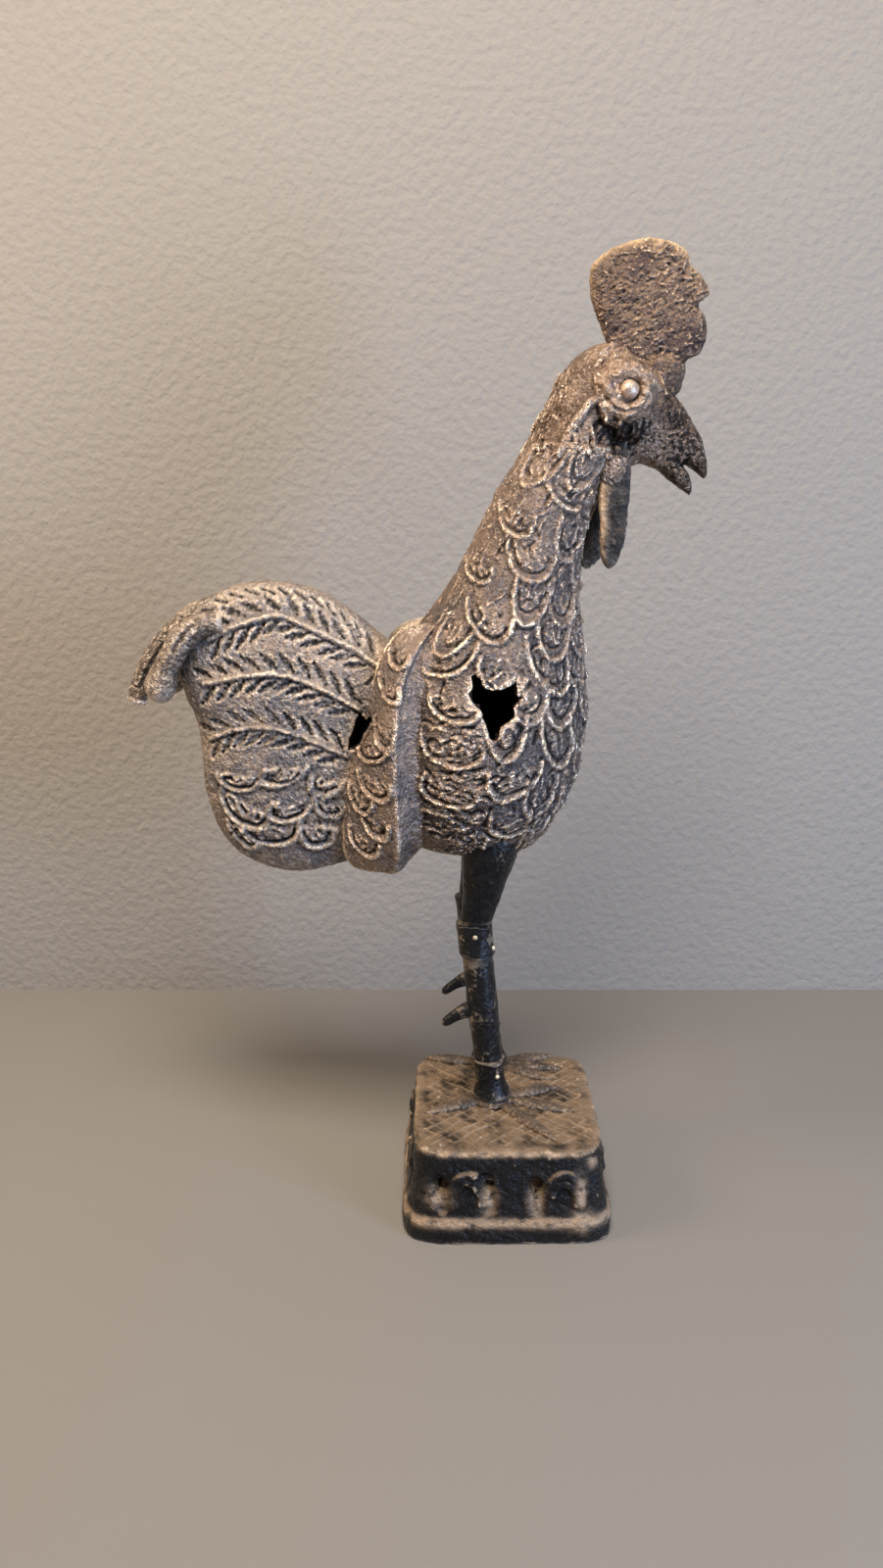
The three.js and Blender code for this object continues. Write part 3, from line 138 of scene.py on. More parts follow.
LOWER_BEAK_ROWS = [
    (35, -5.4, 4, 5), (38, -4.7, 3, 4.6), (43, -4.7, 0.9, 3.8), (46, -4.7, 0, 3), (48, -4.6, -1.2, 2.3),
    (49.9, -4.6, -3.3, 1.3),
]
COMB_OUTLINE = [
    (28.6, 151), (26, 157), (22.9, 164.5), (21.6, 171.6), (23, 176), (28, 179.6), (33.5, 181.6),
    (39.1, 182.5), (45.6, 181.3), (49.8, 178.6), (50.6, 175.6), (53.4, 172.9), (56.4, 167.8), (54.2, 165.9),
    (53.4, 164), (55.4, 161.8), (56.4, 158.4), (56.0, 154.4), (54.1, 151.1), (50.8, 149.3),
    (50.2, 144.9), (49.2, 140), (44, 139), (36, 145),
]
MIDDLE_SICKLE_ROWS = [
    (-86, 77.5, 4.6, 2.6), (-95, 75.4, 4.7, 2.6), (-101.5, 71.4, 4.5, 2.6), (-108, 65.4, 4.1, 2.6),
    (-113.2, 58.4, 3.6, 2.5), (-116.6, 51.4, 3.2, 2.3), (-118, 47.6, 3.0, 2.1),
]
SIDE_SICKLE_ROWS = [
    (-88, 74, 3.0, 3.0), (-94, 73, 3.8, 3.8), (-99.5, 69.4, 4.1, 4.1), (-103.6, 63.8, 4.0, 4.0),
    (-105.8, 59.6, 3.8, 3.8), (-106.8, 57, 4.4, 4.4), (-107.9, 54, 4.8, 4.8), (-109, 51.4, 4.1, 4.1),
    (-109.8, 49.8, 2.4, 2.4),
]
SIDE_SICKLE_OUT = 8.0
LEG_OUT = 12.0
PLINTH_HALF = (30.5, 31.7)
PLINTH_TOP = 30.5
FOOT_LEVEL = PLINTH_TOP + 0.3


class Side(Enum):
    """The bird's two sides, with the sign of Y on each."""

    RIGHT = -1
    LEFT = 1

    @property
    def word(self) -> str:
        """The side's name as the nodes are called."""
        return self.name.lower()


class Frame:
    """Moves points from the bird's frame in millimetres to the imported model's frame in metres."""

    low, high = (np.array(corner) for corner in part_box("plinth"))
    shift = np.array([(low[0] + high[0]) / 2, (low[1] + high[1]) / 2 - PLINTH_BEHIND * MM, low[2]])

    @classmethod
    def to_row(cls, points: np.ndarray) -> np.ndarray:
        """Args: points: N by 3, in millimetres. Returns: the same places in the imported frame."""
        return np.asarray(points, dtype=float) * MM + cls.shift


# Numbers and curves

def at_rows(rows: list[tuple], at: np.ndarray) -> np.ndarray:
    """Smooth curve through a table.

    Args:
        rows: each row's first column is where it lies, in rising order.
        at: the places to read.

    Returns:
        One row of all columns for each place.
    """
    table = np.array(rows, dtype=float)
    at = np.clip(np.asarray(at, dtype=float), table[0, 0], table[-1, 0])
    last = len(table) - 1
    i = np.clip(np.searchsorted(table[:, 0], at, side="right") - 1, 0, last - 1)
    before, start, end, after = (table[np.clip(i + k, 0, last)] for k in (-1, 0, 1, 2))
    span = (end[:, 0] - start[:, 0])[:, None]
    t = ((at - start[:, 0]) / span[:, 0])[:, None]
    slope_in = (end - before) / (end[:, :1] - before[:, :1])
    slope_out = (after - start) / (after[:, :1] - start[:, :1])
    t2, t3 = t * t, t * t * t
    out = (2 * t3 - 3 * t2 + 1) * start + (t3 - 2 * t2 + t) * span * slope_in
    return out + (3 * t2 - 2 * t3) * end + (t3 - t2) * span * slope_out


def resample(points: np.ndarray, count: int, closed: bool = False) -> np.ndarray:
    """Args: points: a polyline. Returns: count points at equal steps along its smooth curve."""
    p = np.asarray(points, dtype=float)
    if closed:
        p = np.vstack([p, p[:1]])
    steps = np.sqrt(np.linalg.norm(np.diff(p, axis=0), axis=1))
    knots = np.concatenate([[0], np.cumsum(steps)])
    ring = np.column_stack([knots, p])
    if closed:
        span = knots[-1]
        ring = np.vstack([ring[-3:-1] - [span] + np.zeros_like(ring[-3:-1]), ring, ring[1:3]])
        ring[:2, 1:] = p[-3:-1]
        ring[-2:, 0] = knots[1:3] + span
    fine = at_rows([tuple(r) for r in ring], np.linspace(0, knots[-1], count * 8 + 1))[:, 1:]
    run = np.concatenate([[0], np.cumsum(np.linalg.norm(np.diff(fine, axis=0), axis=1))])
    marks = np.linspace(0, run[-1], count + 1)[:-1] if closed else np.linspace(0, run[-1], count)
    return np.column_stack([np.interp(marks, run, fine[:, k]) for k in range(fine.shape[1])])


def even_steps(curve: np.ndarray, count: int) -> np.ndarray:
    """Args: curve: finely sampled points. Returns: the share of the way along for equal steps."""
    run = np.concatenate([[0], np.cumsum(np.linalg.norm(np.diff(curve, axis=0), axis=1))])
    return np.interp(np.linspace(0, run[-1], count), run, np.linspace(0, 1, len(curve)))


def in_polygon(points: np.ndarray, polygon: np.ndarray) -> np.ndarray:
    """Args: points: N by 2. Returns: which of them lie inside the polygon."""
    inside = np.zeros(len(points), dtype=bool)
    x, z = points[:, 0], points[:, 1]
    for (x0, z0), (x1, z1) in zip(polygon, np.roll(polygon, -1, axis=0)):
        crosses = (z0 > z) != (z1 > z)
        at = x0 + (z - z0) / np.where(z1 == z0, 1e-9, z1 - z0) * (x1 - x0)
        inside ^= crosses & (x < at)
    return inside


# Meshes

@dataclass
class Shell:
    """A surface of points and faces, in the bird's frame."""

    points: np.ndarray
    faces: list[tuple[int, ...]]
    marks: dict[str, np.ndarray] = field(default_factory=dict)

    @classmethod
    def loft(cls, rings: np.ndarray, cap: bool = True) -> "Shell":
        """Args: rings: rows by columns by 3, closed along the columns. Returns: the skin over them."""
        rows, cols, _ = rings.shape
        index = np.arange(rows * cols).reshape(rows, cols)
        right = np.roll(index, -1, axis=1)
        quads = np.stack([index[:-1], right[:-1], right[1:], index[1:]], axis=-1).reshape(-1, 4)
        points = rings.reshape(-1, 3)
        faces = [tuple(q) for q in quads.tolist()]
        if cap:
            points = np.vstack([points, rings[0].mean(axis=0), rings[-1].mean(axis=0)])
            low, high = rows * cols, rows * cols + 1
            faces += [(low, b, a) for a, b in zip(index[0].tolist(), right[0].tolist())]
            faces += [(high, a, b) for a, b in zip(index[-1].tolist(), right[-1].tolist())]
        shell = cls(points, faces)
        return shell if shell.volume() > 0 else shell.flipped()

    def volume(self) -> float:
        """Returns: six times the signed volume, positive where the faces point out."""
        total = 0.0
        centre = self.points.mean(axis=0)
        for size in (3, 4):
            chosen = np.array([f for f in self.faces if len(f) == size])
            if len(chosen):
                p = self.points[chosen] - centre
                for k in range(1, size - 1):
                    total += float(np.einsum("ij,ij->", p[:, 0], np.cross(p[:, k], p[:, k + 1])))
        return total

    def flipped(self) -> "Shell":
        """Returns: the same surface, facing the other way."""
        return Shell(self.points, [f[::-1] for f in self.faces], self.marks)

    def joined(self, other: "Shell") -> "Shell":
        """Args: other: another surface. Returns: both in one."""
        start = len(self.points)
        faces = self.faces + [tuple(i + start for i in f) for f in other.faces]
        marks = {name: np.concatenate([s.mark(name) for s in (self, other)])
                 for name in {**self.marks, **other.marks}}
        return Shell(np.vstack([self.points, other.points]), faces, marks)

    def mark(self, name: str) -> np.ndarray:
        """Returns: the mark of that name at each point, 0 where it was never set."""
        return self.marks.get(name, np.zeros(len(self.points)))

    def marked(self, name: str, values: np.ndarray | float) -> "Shell":
        """Args: values: one for each point, or one for all. Returns: the surface with that mark."""
        return Shell(self.points, self.faces, {**self.marks, name: np.zeros(len(self.points)) + values})

    def behind(self, outline: list[tuple[float, float]], side: Side, beyond: float) -> np.ndarray:
        """Returns: which faces lie behind an outline that is drawn from the side (see pierced)."""
        polygon = np.array(outline) + [0, BELLY]
        middles = np.array([self.points[list(f)].mean(axis=0) for f in self.faces])
        return in_polygon(middles[:, [0, 2]], polygon) & (middles[:, 1] * side.value > beyond)

    def without(self, outline: list[tuple[float, float]], side: Side, beyond: float) -> "Shell":
        """Returns: the surface less its faces behind an outline (see pierced)."""
        gone = self.behind(outline, side, beyond)
        return Shell(self.points, [f for f, cut in zip(self.faces, gone) if not cut], self.marks)

    def pierced(self, outline: list[tuple[float, float]], side: Side, depth: float, beyond: float) -> "Shell":
        """Cuts a hole that is drawn from the side.

        Args:
            outline: the hole's outline as X and height over the belly.
            side: the side of the bird that it is on.
            depth: how far its rim reaches in.
            beyond: only faces further out than this from the middle plane are cut.

        Returns:
            The surface with the hole and its rim, with painted shade in and round the hole.
        """
        polygon = np.array(outline) + [0, BELLY]
        cut = self.behind(outline, side, beyond)
        kept = [f for f, gone in zip(self.faces, cut) if not gone]
        gone_edges = {}
        for f, gone in zip(self.faces, cut):
            if gone:
                for a, b in zip(f, f[1:] + f[:1]):
                    gone_edges[(a, b)] = True
        rim = [(a, b) for (a, b) in gone_edges if (b, a) not in gone_edges]
        if not rim:
            return self
        points = self.points.copy()
        loop = np.vstack([polygon, polygon[:1]])
        for i in {i for edge in rim for i in edge}:
            points[i, [0, 2]] = nearest_on_line(points[i, [0, 2]], loop)
        numbers = {}
        added = []
        for i in sorted({i for edge in rim for i in edge}):
            numbers[i] = len(points) + len(added)
            added.append(points[i] - [0, side.value * depth, 0])
        faces = kept + [(a, b, numbers[b], numbers[a]) for a, b in rim]
        source = np.array(sorted(numbers))
        marks = {name: np.concatenate([value, value[source]]) for name, value in self.marks.items()}
        # Painted shade: a ring round the hole gets 0.32 of the inside mark and the rim faces 0.8, so the hole
        # renders dark.
        near = np.exp(-(distance_to(loop, self.points[:, [0, 2]]) / 1.5) ** 2)
        near *= self.points[:, 1] * side.value > beyond
        inside = np.maximum(self.mark("inside"), 0.32 * near)
        marks["inside"] = np.concatenate([inside, np.full(len(added), 0.8)])
        return Shell(np.vstack([points, added]), faces, marks)

    def tree(self) -> BVHTree:
        """Returns: a search tree over the surface."""
        return BVHTree.FromPolygons([Vector(p) for p in self.points], self.faces)

    def to_object(self, name: str) -> bpy.types.Object:
        """Args: name: the piece's name. Returns: the surface as an object in the scene."""
        mesh = bpy.data.meshes.new(name)
        mesh.from_pydata(Frame.to_row(self.points).tolist(), [], self.faces)
        mesh.update()
        mesh.shade_smooth()
        for mark, values in self.marks.items():
            layer = mesh.attributes.new(mark, "FLOAT", "POINT")
            layer.data.foreach_set("value", values.astype(np.float32))
        made = bpy.data.objects.new(name, mesh)
        bpy.context.scene.collection.objects.link(made)
        return made


def nearest_on_line(point: np.ndarray, line: np.ndarray) -> np.ndarray:
    """Args: point: a place. line: a polyline. Returns: the line's nearest place to it."""
    a, b = line[:-1], line[1:]
    way = b - a
    t = np.clip(((point - a) * way).sum(axis=1) / np.maximum((way * way).sum(axis=1), 1e-9), 0, 1)
    found = a + way * t[:, None]
    return found[np.argmin(((found - point) ** 2).sum(axis=1))]


def distance_to(line: np.ndarray, points: np.ndarray) -> np.ndarray:
    """Args: line: a flat polyline. points: N by 2. Returns: how far each of them lies from the line."""
    gap = np.full(len(points), np.inf)
    for a, way in zip(line[:-1], np.diff(line, axis=0)):
        t = np.clip((points - a) @ way / max(way @ way, 1e-9), 0, 1)
        gap = np.minimum(gap, np.linalg.norm(points - a - t[:, None] * way, axis=1))
    return gap


def tube(path: np.ndarray, radii: np.ndarray, sides: int = 32, flat: float = 1.0) -> Shell:
    """Args: path: N by 3. radii: one for each. flat: share of the radius along Y. Returns: the tube."""
    way = np.gradient(path, axis=0)
    way /= np.linalg.norm(way, axis=1)[:, None]
    up = np.cross([0.0, 1.0, 0.0], way)
    poor = np.linalg.norm(up, axis=1) < 0.2
    up[poor] = np.cross([1.0, 0.0, 0.0], way[poor])
    up /= np.linalg.norm(up, axis=1)[:, None]
    across = np.cross(way, up)
    turn = np.linspace(0, 2 * math.pi, sides, endpoint=False)
    ring = (np.cos(turn)[None, :, None] * up[:, None] + flat * np.sin(turn)[None, :, None] * across[:, None])
    return Shell.loft(path[:, None] + ring * np.asarray(radii)[:, None, None])


def pillow(outline: np.ndarray, middle: tuple[float, float], half: float, y: float = 0.0,
           fullness: float = 2.0, thin: float = 0.0, rings: int = 60) -> Shell:
    """A closed plate that thins to its edge.

    Args:
        outline: its outline as X and Z.
        middle: the place that its rings draw in to.
        half: half its thickness there.
        y: its middle plane.
        fullness: 2 for an ellipse across, more for a boxier one.
        thin: share of the thickness lost from the front to the back.
        rings: how many rings there are from one face to the other.

    Returns:
        The plate's surface.
    """
    fine = np.linspace(-math.pi / 2, math.pi / 2, 2001)
    reach = np.linalg.norm(outline - middle, axis=1).mean()

    def profile(swing: np.ndarray) -> tuple[np.ndarray, np.ndarray]:
        share = np.maximum(np.cos(swing), 0) ** (2 / fullness)
        return share, np.sign(swing) * np.abs(np.sin(swing)) ** (2 / fullness)

    share, out = profile(fine)
    swings = np.interp(even_steps(np.column_stack([share * reach, out * half]), rings + 2)[1:-1],
                       np.linspace(0, 1, len(fine)), fine)
    share, out = profile(swings)
    flat = np.asarray(middle) + share[:, None, None] * (outline - middle)[None]
    low, high = outline[:, 0].min(), outline[:, 0].max()
    depth = half * (1 - thin * (high - flat[..., 0]) / (high - low)) * out[:, None]
    return Shell.loft(np.stack([flat[..., 0], depth + y, flat[..., 1]], axis=-1))


# Ornament: bands and threads of wax, gouges and hollows, laid on a surface

class Line(Enum):
    """What a line does to a surface. The value is its input on the relief tree."""

    BAND = "Bands"
    THREAD = "Threads"
    GOUGE = "Gouges"
    HOLLOW = "Hollows"


@dataclass(frozen=True)
class Scale:
    """One feather scale, with the seed of the hand that drew it.

    mid is the middle of its open top, across goes from corner to corner, down from mid to the tip.
    """

    mid: np.ndarray
    across: np.ndarray
    down: np.ndarray
    seed: int

    def arc(self, share: float, drop: float, reach: float = 1.0) -> np.ndarray:
        """Returns: a U inside the scale, at a share of its width, lowered by a share of its length."""
        a = np.linspace(-1, 1, 19) * math.pi / 2 * reach
        legs = np.sin(a)[:, None] * self.across * share / 2
        return self.mid + legs + (np.maximum(np.cos(a), 0) ** 0.8)[:, None] * self.down * (share - drop)

    def petal(self, aside: float, rng: np.random.Generator) -> np.ndarray:
        """Args: aside: share of the width from the middle. Returns: a thin wax loop along the scale."""
        turn = np.linspace(0, 2 * math.pi, 18) + rng.uniform(0, 6)
        centre = self.mid + self.across * aside + self.down * (rng.uniform(0.36, 0.46) - 0.5 * abs(aside))
        slant = self.across * rng.uniform(-0.08, 0.08)
        wide, tall = rng.uniform(0.09, 0.14), rng.uniform(0.2, 0.3)
        loop = centre + np.cos(turn)[:, None] * self.across * wide
        return strayed(loop + np.sin(turn)[:, None] * (self.down * tall + slant), rng, 0.3)

    def lines(self) -> list[tuple[Line, np.ndarray]]:
        """Returns: every line of the scale, straying as a hand does."""
        rng = np.random.default_rng([SEED, self.seed])
        width = float(np.linalg.norm(self.across))
        found = [(Line.BAND, strayed(self.arc(1.0, 0.0), rng, 0.2))]
        if width > 7:
            found.append((Line.GOUGE, strayed(self.arc(1 - 3.2 / width, 0.0, 0.8), rng, 0.2)))
        if width > 9:
            for aside in ((-0.2, 0.2), (-0.24, 0.0, 0.24), (0.02,))[int(rng.integers(3))]:
                found.append((Line.THREAD, self.petal(aside, rng)))
        for k in range(int(rng.integers(3, 7))):
            start = self.mid + self.across * rng.uniform(-0.34, 0.34) + self.down * rng.uniform(-0.05, 0.5)
            stroke = self.down * rng.uniform(0.1, 0.3) + self.across * rng.uniform(-0.22, 0.22)
            kind = Line.GOUGE if k % 2 else Line.THREAD
            found.append((kind, strayed(start + np.linspace(0, 1, 5)[:, None] * stroke, rng, 0.3)))
        return found


def strayed(points: np.ndarray, rng: np.random.Generator, wobble: float) -> np.ndarray:
    """Args: wobble: how far a hand strays. Returns: the line with a slow wander added."""
    points = np.asarray(points, dtype=float)
    knots = rng.normal(0, wobble, (max(3, len(points) // 4 + 2), 3))
    at = np.linspace(0, len(knots) - 1, len(points))
    return points + np.column_stack([np.interp(at, np.arange(len(knots)), knots[:, k]) for k in range(3)])


@dataclass
class Ornament:
    """Lines on a surface, between two levels over the ground."""

    shell: Shell
    seed: int
    low: float = -1.0
    high: float = 400.0
    lines: dict[Line, list[np.ndarray]] = field(default_factory=dict)

    def __post_init__(self) -> None:
        self.tree = self.shell.tree()
        self.rng = np.random.default_rng(self.seed)

    def add(self, kind: Line, points: np.ndarray, wobble: float = 0.12) -> None:
        """Args: kind: what the line does. points: its course, near the surface. wobble: see strayed."""
        points = strayed(points, self.rng, wobble) if wobble else np.asarray(points, dtype=float)
        seated = np.array([self.tree.find_nearest(Vector(p))[0] for p in points])
        run = []
        for p, wanted in zip(seated, points):
            if self.low < wanted[2] < self.high:
                run.append(p)
            elif len(run) > 1:
                break
        if len(run) > 1:
            self.lines.setdefault(kind, []).append(np.array(run))

    def from_side(self, flat: list[tuple[float, float]], side: Side) -> np.ndarray:
        """Args: flat: X and Z of places as seen from the side. Returns: those places on the surface."""
        found = []
        for x, z in flat:
            hit = self.tree.ray_cast(Vector((x, side.value * 80, z)), Vector((0, -side.value, 0)))[0]
            near = hit or self.tree.find_nearest(Vector((x, side.value * 14, z)))[0]
            found.append(np.array(near))
        return np.array(found)

    def draw(self, kind: Line, flat: np.ndarray, side: Side, wobble: float = 0.12) -> None:
        """Adds a line that is given as seen from the side."""
        self.add(kind, self.from_side([tuple(p) for p in flat], side), wobble)

    def scale(self, scale: Scale) -> None:
        """Adds all lines of a scale."""
        for kind, points in scale.lines():
            self.add(kind, points, 0)

    def side_scale(self, left: tuple, tip: tuple, right: tuple, side: Side) -> Scale:
        """Args: left, tip, right: X and Z of a scale's corners and tip. Returns: that scale."""
        a, b, c = self.from_side([left, tip, right], side)
        mid = (a + c) / 2
        return Scale(mid, c - a, b - mid, int(self.rng.integers(1, 10 ** 6)))

    def lines_object(self, name: str, lines: list[np.ndarray]) -> bpy.types.Object:
        """Returns: an object of bare edges along the lines, for the relief tree to measure from."""
        points = np.vstack(lines)
        starts = np.cumsum([0] + [len(line) for line in lines])
        edges = [(i, i + 1) for s, e in zip(starts[:-1], starts[1:]) for i in range(s, e - 1)]
        mesh = bpy.data.meshes.new(name)
        mesh.from_pydata(Frame.to_row(points).tolist(), edges, [])
        made = bpy.data.objects.new(name, mesh)
        bpy.context.scene.collection.objects.link(made)
        return made


# The relief tree

@dataclass(frozen=True)
class Relief:
    """How a casting's skin departs from its smooth form, in millimetres.

    Each kind of line has its height, below 0 where it cuts in, and half its width.
    """

    band: tuple[float, float] = (0.75, 1.3)
    thread: tuple[float, float] = (0.45, 0.8)
    gouge: tuple[float, float] = (-0.55, 0.8)
    hollow: tuple[float, float] = (-2.0, 4.0)
    grain: tuple[float, float] = (0.3, 1.3)
    lumps: tuple[float, float] = (0.7, 7.0)
    wear_height: float = 0.45
    blur: int = 9


class ReliefTree:
    """Geometry nodes that lay lines on a skin, roughen it and note where it is worn, less where the inside mark
    paints shade, and where it faces up.
    """

    FLAT = 0.3  # share of a line's width that is level
    UNEVEN = 0.6  # how much the height of lines strays, as a share of it

    def __init__(self) -> None:
        self.tree = bpy.data.node_groups.new("Casting relief", "GeometryNodeTree")
        self.ids = {}
        self.socket("Geometry", "Geometry", None)
        for line in Line:
            self.socket(line.value, "Object", None)
        for name in [line.value for line in Line] + ["Grain", "Lumps"]:
            self.socket(f"{name} Height", "Float", 0.0005)
            self.socket(f"{name} Size", "Float", 0.001)
        self.socket("Wear Height", "Float", 0.0004)
        self.socket("Blur", "Int", 9)
        self.socket("Material", "Material", None)
        self.tree.interface.new_socket(name="Geometry", in_out="OUTPUT", socket_type="NodeSocketGeometry")
        self.build()

    def socket(self, name: str, kind: str, default: float | None) -> None:
        """Adds an input to the tree."""
        made = self.tree.interface.new_socket(name=name, in_out="INPUT", socket_type=f"NodeSocket{kind}")
        if default is not None:
            made.default_value = default
        self.ids[name] = made.identifier

    def node(self, kind: str, **settings) -> bpy.types.Node:
        """Returns: a new node with the given properties set."""
        made = self.tree.nodes.new(kind)
        for key, value in settings.items():
            setattr(made, key, value)
        return made

    def plug(self, source, target, name) -> None:
        """Links a socket to, or sets a value on, the enabled input of that name or index."""
        if isinstance(name, int):
            socket = target.inputs[name]
        else:
            socket = next(s for s in target.inputs if s.name == name and s.enabled)
        if isinstance(source, bpy.types.NodeSocket):
            self.tree.links.new(source, socket)
        else:
            socket.default_value = source

    def math(self, operation: str, *values) -> bpy.types.NodeSocket:
        """Returns: the result of a math node on the values."""
        made = self.node("ShaderNodeMath", operation=operation)
        for i, value in enumerate(values):
            self.plug(value, made, i)
        return made.outputs[0]

    def near_lines(self, lines, height, width) -> bpy.types.NodeSocket:
        """Returns: the height on a line, falling smoothly to 0 at its width."""
        info = self.node("GeometryNodeObjectInfo", transform_space="ORIGINAL")
        self.plug(lines, info, "Object")
        near = self.node("GeometryNodeProximity", target_element="EDGES")
        self.plug(info.outputs["Geometry"], near, 0)
        fall = self.node("ShaderNodeMapRange", interpolation_type="SMOOTHSTEP")
        flat = self.math("MULTIPLY", width, self.FLAT)
        for i, value in enumerate((near.outputs["Distance"], flat, width, height, 0.0)):
            self.plug(value, fall, i)
        valid = next((s for s in near.outputs if s.name == "Is Valid"), None)
        return self.math("MULTIPLY", fall.outputs[0], valid) if valid else fall.outputs[0]

    def noise(self, height, size, detail: float) -> bpy.types.NodeSocket:
        """Returns: a noise about 0, of that height and size."""
        made = self.node("ShaderNodeTexNoise", noise_dimensions="3D")
        self.plug(self.node("GeometryNodeInputPosition").outputs[0], made, "Vector")
        self.plug(self.math("DIVIDE", 1.0, size), made, "Scale")
        self.plug(detail, made, "Detail")
        self.plug(0.62, made, "Roughness")
        centred = self.math("SUBTRACT", made.outputs[0], 0.5)
        return self.math("MULTIPLY", self.math("MULTIPLY", centred, 2.0), height)

    def store(self, geometry, name: str, value) -> bpy.types.NodeSocket:
        """Returns: the geometry with a number stored on its points."""
        made = self.node("GeometryNodeStoreNamedAttribute", data_type="FLOAT", domain="POINT")
        self.plug(geometry, made, "Geometry")
        self.plug(name, made, "Name")
        self.plug(value, made, "Value")
        return made.outputs[0]

    def build(self) -> None:
        """Makes the tree's nodes."""
        given = self.node("NodeGroupInput").outputs
        total = self.noise(given["Grain Height"], given["Grain Size"], 4.0)
        total = self.math("ADD", total, self.noise(given["Lumps Height"], given["Lumps Size"], 1.0))
        uneven = self.math("ADD", self.noise(self.UNEVEN, 3.5 * MM, 2.0), 1.0)
        for line in Line:
            name = line.value
            drawn = self.near_lines(given[name], given[f"{name} Height"], given[f"{name} Size"])
            total = self.math("ADD", total, self.math("MULTIPLY", drawn, uneven))
        normal = self.node("GeometryNodeInputNormal").outputs[0]
        offset = self.node("ShaderNodeVectorMath", operation="SCALE")
        self.plug(normal, offset, "Vector")
        self.plug(total, offset, "Scale")
        moved = self.node("GeometryNodeSetPosition")
        self.plug(given["Geometry"], moved, "Geometry")
        self.plug(offset.outputs[0], moved, "Offset")
        blur = self.node("GeometryNodeBlurAttribute", data_type="FLOAT_VECTOR")
        position = self.node("GeometryNodeInputPosition").outputs[0]
        self.plug(position, blur, "Value")
        self.plug(given["Blur"], blur, "Iterations")
        rise = self.node("ShaderNodeVectorMath", operation="SUBTRACT")
        self.plug(position, rise, 0)
        self.plug(next(s for s in blur.outputs if s.enabled), rise, 1)
        along = self.node("ShaderNodeVectorMath", operation="DOT_PRODUCT")
        self.plug(rise.outputs[0], along, 0)
        self.plug(normal, along, 1)
        wear_and_shade = self.math("DIVIDE", along.outputs["Value"], given["Wear Height"])
        # Painted shade: the inside mark lowers the stored wear, so hole rims, the lining, the plinth's inner
        # wall, the beak, under the eye and the comb's left side render dark.
        painted_shade = self.node("GeometryNodeInputNamedAttribute", data_type="FLOAT")
        self.plug("inside", painted_shade, "Name")
        wear_and_shade = self.math("SUBTRACT", wear_and_shade, self.math("MULTIPLY", painted_shade.outputs[0], 3.0))
        worn = self.store(moved.outputs[0], "wear_and_shade", wear_and_shade)
        axes = self.node("ShaderNodeSeparateXYZ")
        self.plug(normal, axes, 0)
        real = self.node("GeometryNodeRealizeInstances")
        self.plug(self.store(worn, "up", axes.outputs["Z"]), real, 0)
        dressed = self.node("GeometryNodeSetMaterial")
        self.plug(real.outputs[0], dressed, "Geometry")
        self.plug(given["Material"], dressed, "Material")
        self.plug(dressed.outputs[0], self.node("NodeGroupOutput"), 0)

    def apply(self, made: bpy.types.Object, relief: Relief, material: bpy.types.Material,
              ornament: Ornament | None = None) -> None:
        """Bakes the relief into an object's mesh.

        Args:
            made: the object.
            relief: its heights and sizes.
            material: the finish that it gets.
            ornament: the lines on it, if any.
        """
        modifier = made.modifiers.new("relief", "NODES")
        modifier.node_group = self.tree
        values = {"Wear Height": relief.wear_height * MM, "Blur": relief.blur, "Material": material}
        pairs = zip([line.value for line in Line] + ["Grain", "Lumps"],
                    (relief.band, relief.thread, relief.gouge, relief.hollow, relief.grain, relief.lumps))
        for name, (height, size) in pairs:
            values[f"{name} Height"] = height * MM
            values[f"{name} Size"] = size * MM
        helpers = []
        for line, drawn in (ornament.lines if ornament else {}).items():
            values[line.value] = ornament.lines_object(f"{made.name}_{line.value}", drawn)
            helpers.append(values[line.value])
        for name, value in values.items():
            modifier[self.ids[name]] = value
        bake(made)
        made.data.shade_smooth()
        for helper in helpers:
            mesh = helper.data
            bpy.data.objects.remove(helper)
            bpy.data.meshes.remove(mesh)


def bake(made: bpy.types.Object) -> None:
    """Args: made: an object, whose modifiers are turned into a plain mesh."""
    graph = bpy.context.evaluated_depsgraph_get()
    graph.update()
    mesh = bpy.data.meshes.new_from_object(made.evaluated_get(graph), preserve_all_data_layers=True,
                                           depsgraph=graph)
    old = made.data
    made.modifiers.clear()
    made.data = mesh
    bpy.data.meshes.remove(old)
    mesh.name = made.name


def fused(name: str, shells: list[Shell], voxel: float, smooth: int = 4) -> bpy.types.Object:
    """Melts forms into one skin.

    Args:
        name: the piece's name.
        shells: closed forms that overlap.
        voxel: the skin's grid, in millimetres.
        smooth: how many times the skin is evened out.

    Returns:
        The object, with a plain mesh.
    """
    whole = shells[0]
    for shell in shells[1:]:
        whole = whole.joined(shell)
    made = whole.to_object(name)
    remesh = made.modifiers.new("melt", "REMESH")
    remesh.mode = "VOXEL"
    remesh.voxel_size = voxel * MM
    ease = made.modifiers.new("ease", "SMOOTH")
    ease.iterations = smooth
    bake(made)
    return made


def shell_of(made: bpy.types.Object) -> Shell:
    """Args: made: an object of one of the pieces. Returns: its surface in the bird's frame."""
    flat = np.empty(len(made.data.vertices) * 3)
    made.data.vertices.foreach_get("co", flat)
    points = (flat.reshape(-1, 3) - Frame.shift) / MM
    return Shell(points, [tuple(p.vertices) for p in made.data.polygons])


# Finishes

